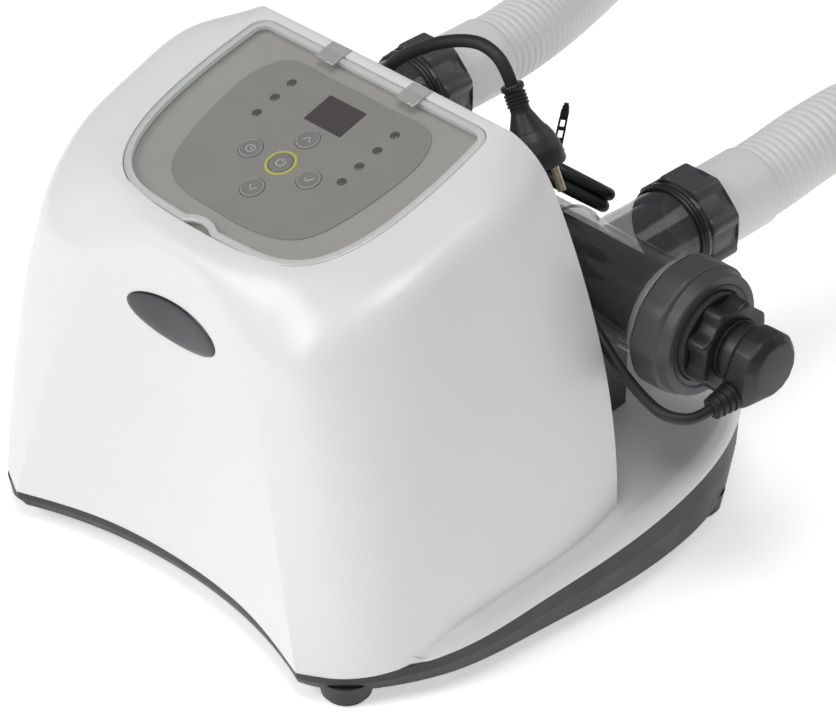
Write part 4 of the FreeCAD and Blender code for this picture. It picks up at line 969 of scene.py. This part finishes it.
def slope_stroke(line, width, above, closed=False):
    """Thin raised stroke along a flat line in the sloping frame."""
    pts = [np.array(p, float) for p in line]
    n = len(pts)
    verts, faces = [], []
    for i, p in enumerate(pts):
        a = pts[(i - 1) % n] if closed or i else pts[0]
        b = pts[(i + 1) % n] if closed or i < n - 1 else pts[-1]
        t = (b - a) / (np.linalg.norm(b - a) + 1e-9)
        side = np.array([-t[1], t[0]]) * width / 2
        for q, z in ((p - side, above), (p + side, above), (p + side, above + 0.12),
                     (p - side, above + 0.12)):
            verts.append(sloped(q[0], q[1], z))
    for i in range(n if closed else n - 1):
        a, b = 4 * i, 4 * ((i + 1) % n)
        faces += [(a + k, a + (k + 1) % 4, b + (k + 1) % 4, b + k) for k in range(4)]
    if not closed:
        faces += [(0, 1, 2, 3), tuple(4 * (n - 1) + k for k in range(4))]
    return verts, faces


def arc(x, y, radius, start, end, count=20):
    return [(x + radius * math.cos(math.radians(start + (end - start) * k / count)),
             y + radius * math.sin(math.radians(start + (end - start) * k / count))) for k in range(count + 1)]


def build_button(name):
    x, s = BUTTONS[name]
    low = BUTTON_TOP - 7
    profile = [(low, 0.2), (low, 2.5), (low + 1.5, 2.5), (low + 1.5, 8.2), (low + 2.7, 8.2), (low + 2.7, 7.0),
               (BUTTON_TOP - 0.7, 7.0), (BUTTON_TOP - 0.2, 6.7), (BUTTON_TOP, 6.1), (BUTTON_TOP - 0.25, 4.0),
               (BUTTON_TOP - 0.4, 0.2)]
    verts, faces = slope_lathe(profile, x, s)
    cap = mesh_piece("cap_" + name, verts, faces, MATERIALS["button_film"], "button_" + name,
                     ("button_" + name,), 45)
    top = BUTTON_TOP - 0.36
    strokes = []
    if name == "power":
        strokes = [slope_stroke(arc(x, s, 2.6, 120, 420), 0.55, top + 0.02),
                   slope_stroke([(x, s + 0.6), (x, s + 3.2)], 0.55, top)]
    elif name == "rear":
        strokes = [slope_stroke([(x - 2.4, s - 1.2), (x, s + 1.8), (x + 2.4, s - 1.2)], 0.6, top)]
    elif name == "front":
        strokes = [slope_stroke([(x - 2.4, s + 1.2), (x, s - 1.8), (x + 2.4, s + 1.2)], 0.6, top)]
    elif name == "left":
        strokes = [slope_stroke(arc(x, s, 2.6, 0, 360), 0.5, top),
                   slope_stroke([(x, s + 1.7), (x, s), (x + 1.3, s - 0.6)], 0.5, top)]
    else:
        strokes = [slope_stroke([(x - 2.4, s), (x - 0.8, s - 1.7), (x + 2.4, s + 1.8)], 0.6, top)]
    if name != "power":
        strokes.append(slope_stroke(arc(x, s, 6.2, 0, 360, 40)[:-1], 0.5, BUTTON_TOP - 0.16, True))
    verts, faces = merge(strokes)
    mesh_piece("icon_" + name, verts, faces, MATERIALS["print_light"], "button_" + name, (),
               30)
    return cap


for name in BUTTONS:
    build_button(name)

top = -5.7 + 0.6
verts, faces = slope_lathe([(top + 0.02, 7.6), (top + 0.3, 7.7), (top + 0.3, 9.0), (top + 0.02, 9.2),
                            (top - 0.1, 9.2),
                            (top - 0.1, 7.6)], 0, -75.6, 64)
mesh_piece("power_ring", verts, faces, MATERIALS["ring_lime"], "root", (), 40)

LEDS = [(-40, -27.4), (-40, -40.7), (-40, -54.8), (39, -26.6), (39, -40.2), (39, -54.2), (39, -67.8)]
lens_low = 0.1 - 5.7 - 2.8
lenses = []
for x, s in LEDS:
    h = 3.6
    lenses.append(slope_lathe([(lens_low, 0.1), (lens_low, 2.75), (lens_low + h - 0.5, 2.75),
                               (lens_low + h - 0.1, 2.4),
                               (lens_low + h + 0.15, 1.4), (lens_low + h + 0.25, 0.1)], x, s, 32))
verts, faces = merge(lenses)
mesh_piece("lens_domes", verts, faces, MATERIALS["lens"], "root", ("indicator_lenses",), 50)


def build_badge():
    """Blank oval label, slightly domed, lying on the front of the housing."""
    bm = bmesh.new()
    bm.from_mesh(housing.data)
    tree = BVHTree.FromBMesh(bm)
    rings, count = 9, 72
    verts, faces = [], []
    for k in range(rings):
        share = k / (rings - 1)
        scale = 1.0 - share ** 1.6
        rise = 1.5 * (1 - (1 - share) ** 3) + 0.15
        for j in range(count):
            a = 2 * math.pi * j / count
            x, z = 35 * scale * math.cos(a), 179 + 13 * scale * math.sin(a)
            hit = tree.ray_cast(Vector((x * MM, -0.4, z * MM)), Vector((0, 1, 0)))
            y = hit[0].y / MM if hit[0] else -149
            verts.append((x, y - rise, z))
    bm.free()
    faces = grid_faces(rings, count)
    skirt = len(verts)
    for j in range(count):
        x, y, z = verts[j]
        verts.append((x, y + 2.0, z))
    faces += [(j, (j + 1) % count, skirt + (j + 1) % count, skirt + j) for j in range(count)]
    return mesh_piece("badge_dome", verts, faces, MATERIALS["badge_blue"], "root", ("badge",),
                      60)


build_badge()


def build_clips():
    """Barrels round the lid pins, each with a tongue over the lid."""
    parts = []
    outer = [(-9.0, 0.05), (-9.0, 1.2), (-8.4, 1.6), (1.5, 1.6)]
    for k in range(13):
        a = math.radians(110 - 300 * k / 12)
        outer.append((3.5 + 3.2 * math.cos(a), -1.8 + 3.2 * math.sin(a)))
    outer += [(-0.3, -1.2), (-0.3, 0.05)]
    for side in (-1, 1):
        x0, x1 = side * 31 - 7, side * 31 + 7
        verts, faces = [], []
        n = len(outer)
        for x, shrink in ((x0, 0.35), (x0 + 0.4, 0.0), (x1 - 0.4, 0.0), (x1, 0.35)):
            mid = np.mean(np.array(outer), axis=0)
            for s, h in outer:
                d = np.array([s, h]) - mid
                d = d * (1 - shrink / (np.linalg.norm(d) + 1e-6))
                verts.append(sloped(x, mid[0] + d[0], mid[1] + d[1]))
        faces = grid_faces(4, n)
        faces += [tuple(range(n)), tuple(range(3 * n, 4 * n))]
        parts.append((verts, faces))
    verts, faces = merge(parts)
    return mesh_piece("clip_pair", verts, faces, MATERIALS["clip_grey"], "lid", ("lid_clips",),
                      40)


build_clips()


# ---------------------------------------------------------------- the rest of the CAD nodes

for name, width in (("base_tray", 1.0), ("control_panel", 0.5), ("cell_housing", 0.5),
                    ("connector_relief", 0.3), ("cell_cradles", 1.2), ("electrode_holder", 0.6),
                    ("flow_sensor_body", 0.6), ("foot_pads", 0.6), ("hose_cuff_right", 0.5),
                    ("hose_cuff_left", 0.5),
                    ("hose_end_cuff_right", 0.5), ("hose_end_cuff_left", 0.5)):
    bevel = NODES[name].modifiers.new("edges", "BEVEL")
    bevel.width = width * MM
    bevel.segments = 2
    bevel.limit_method = "ANGLE"
    bevel.angle_limit = math.radians(40)
    bevel.harden_normals = False
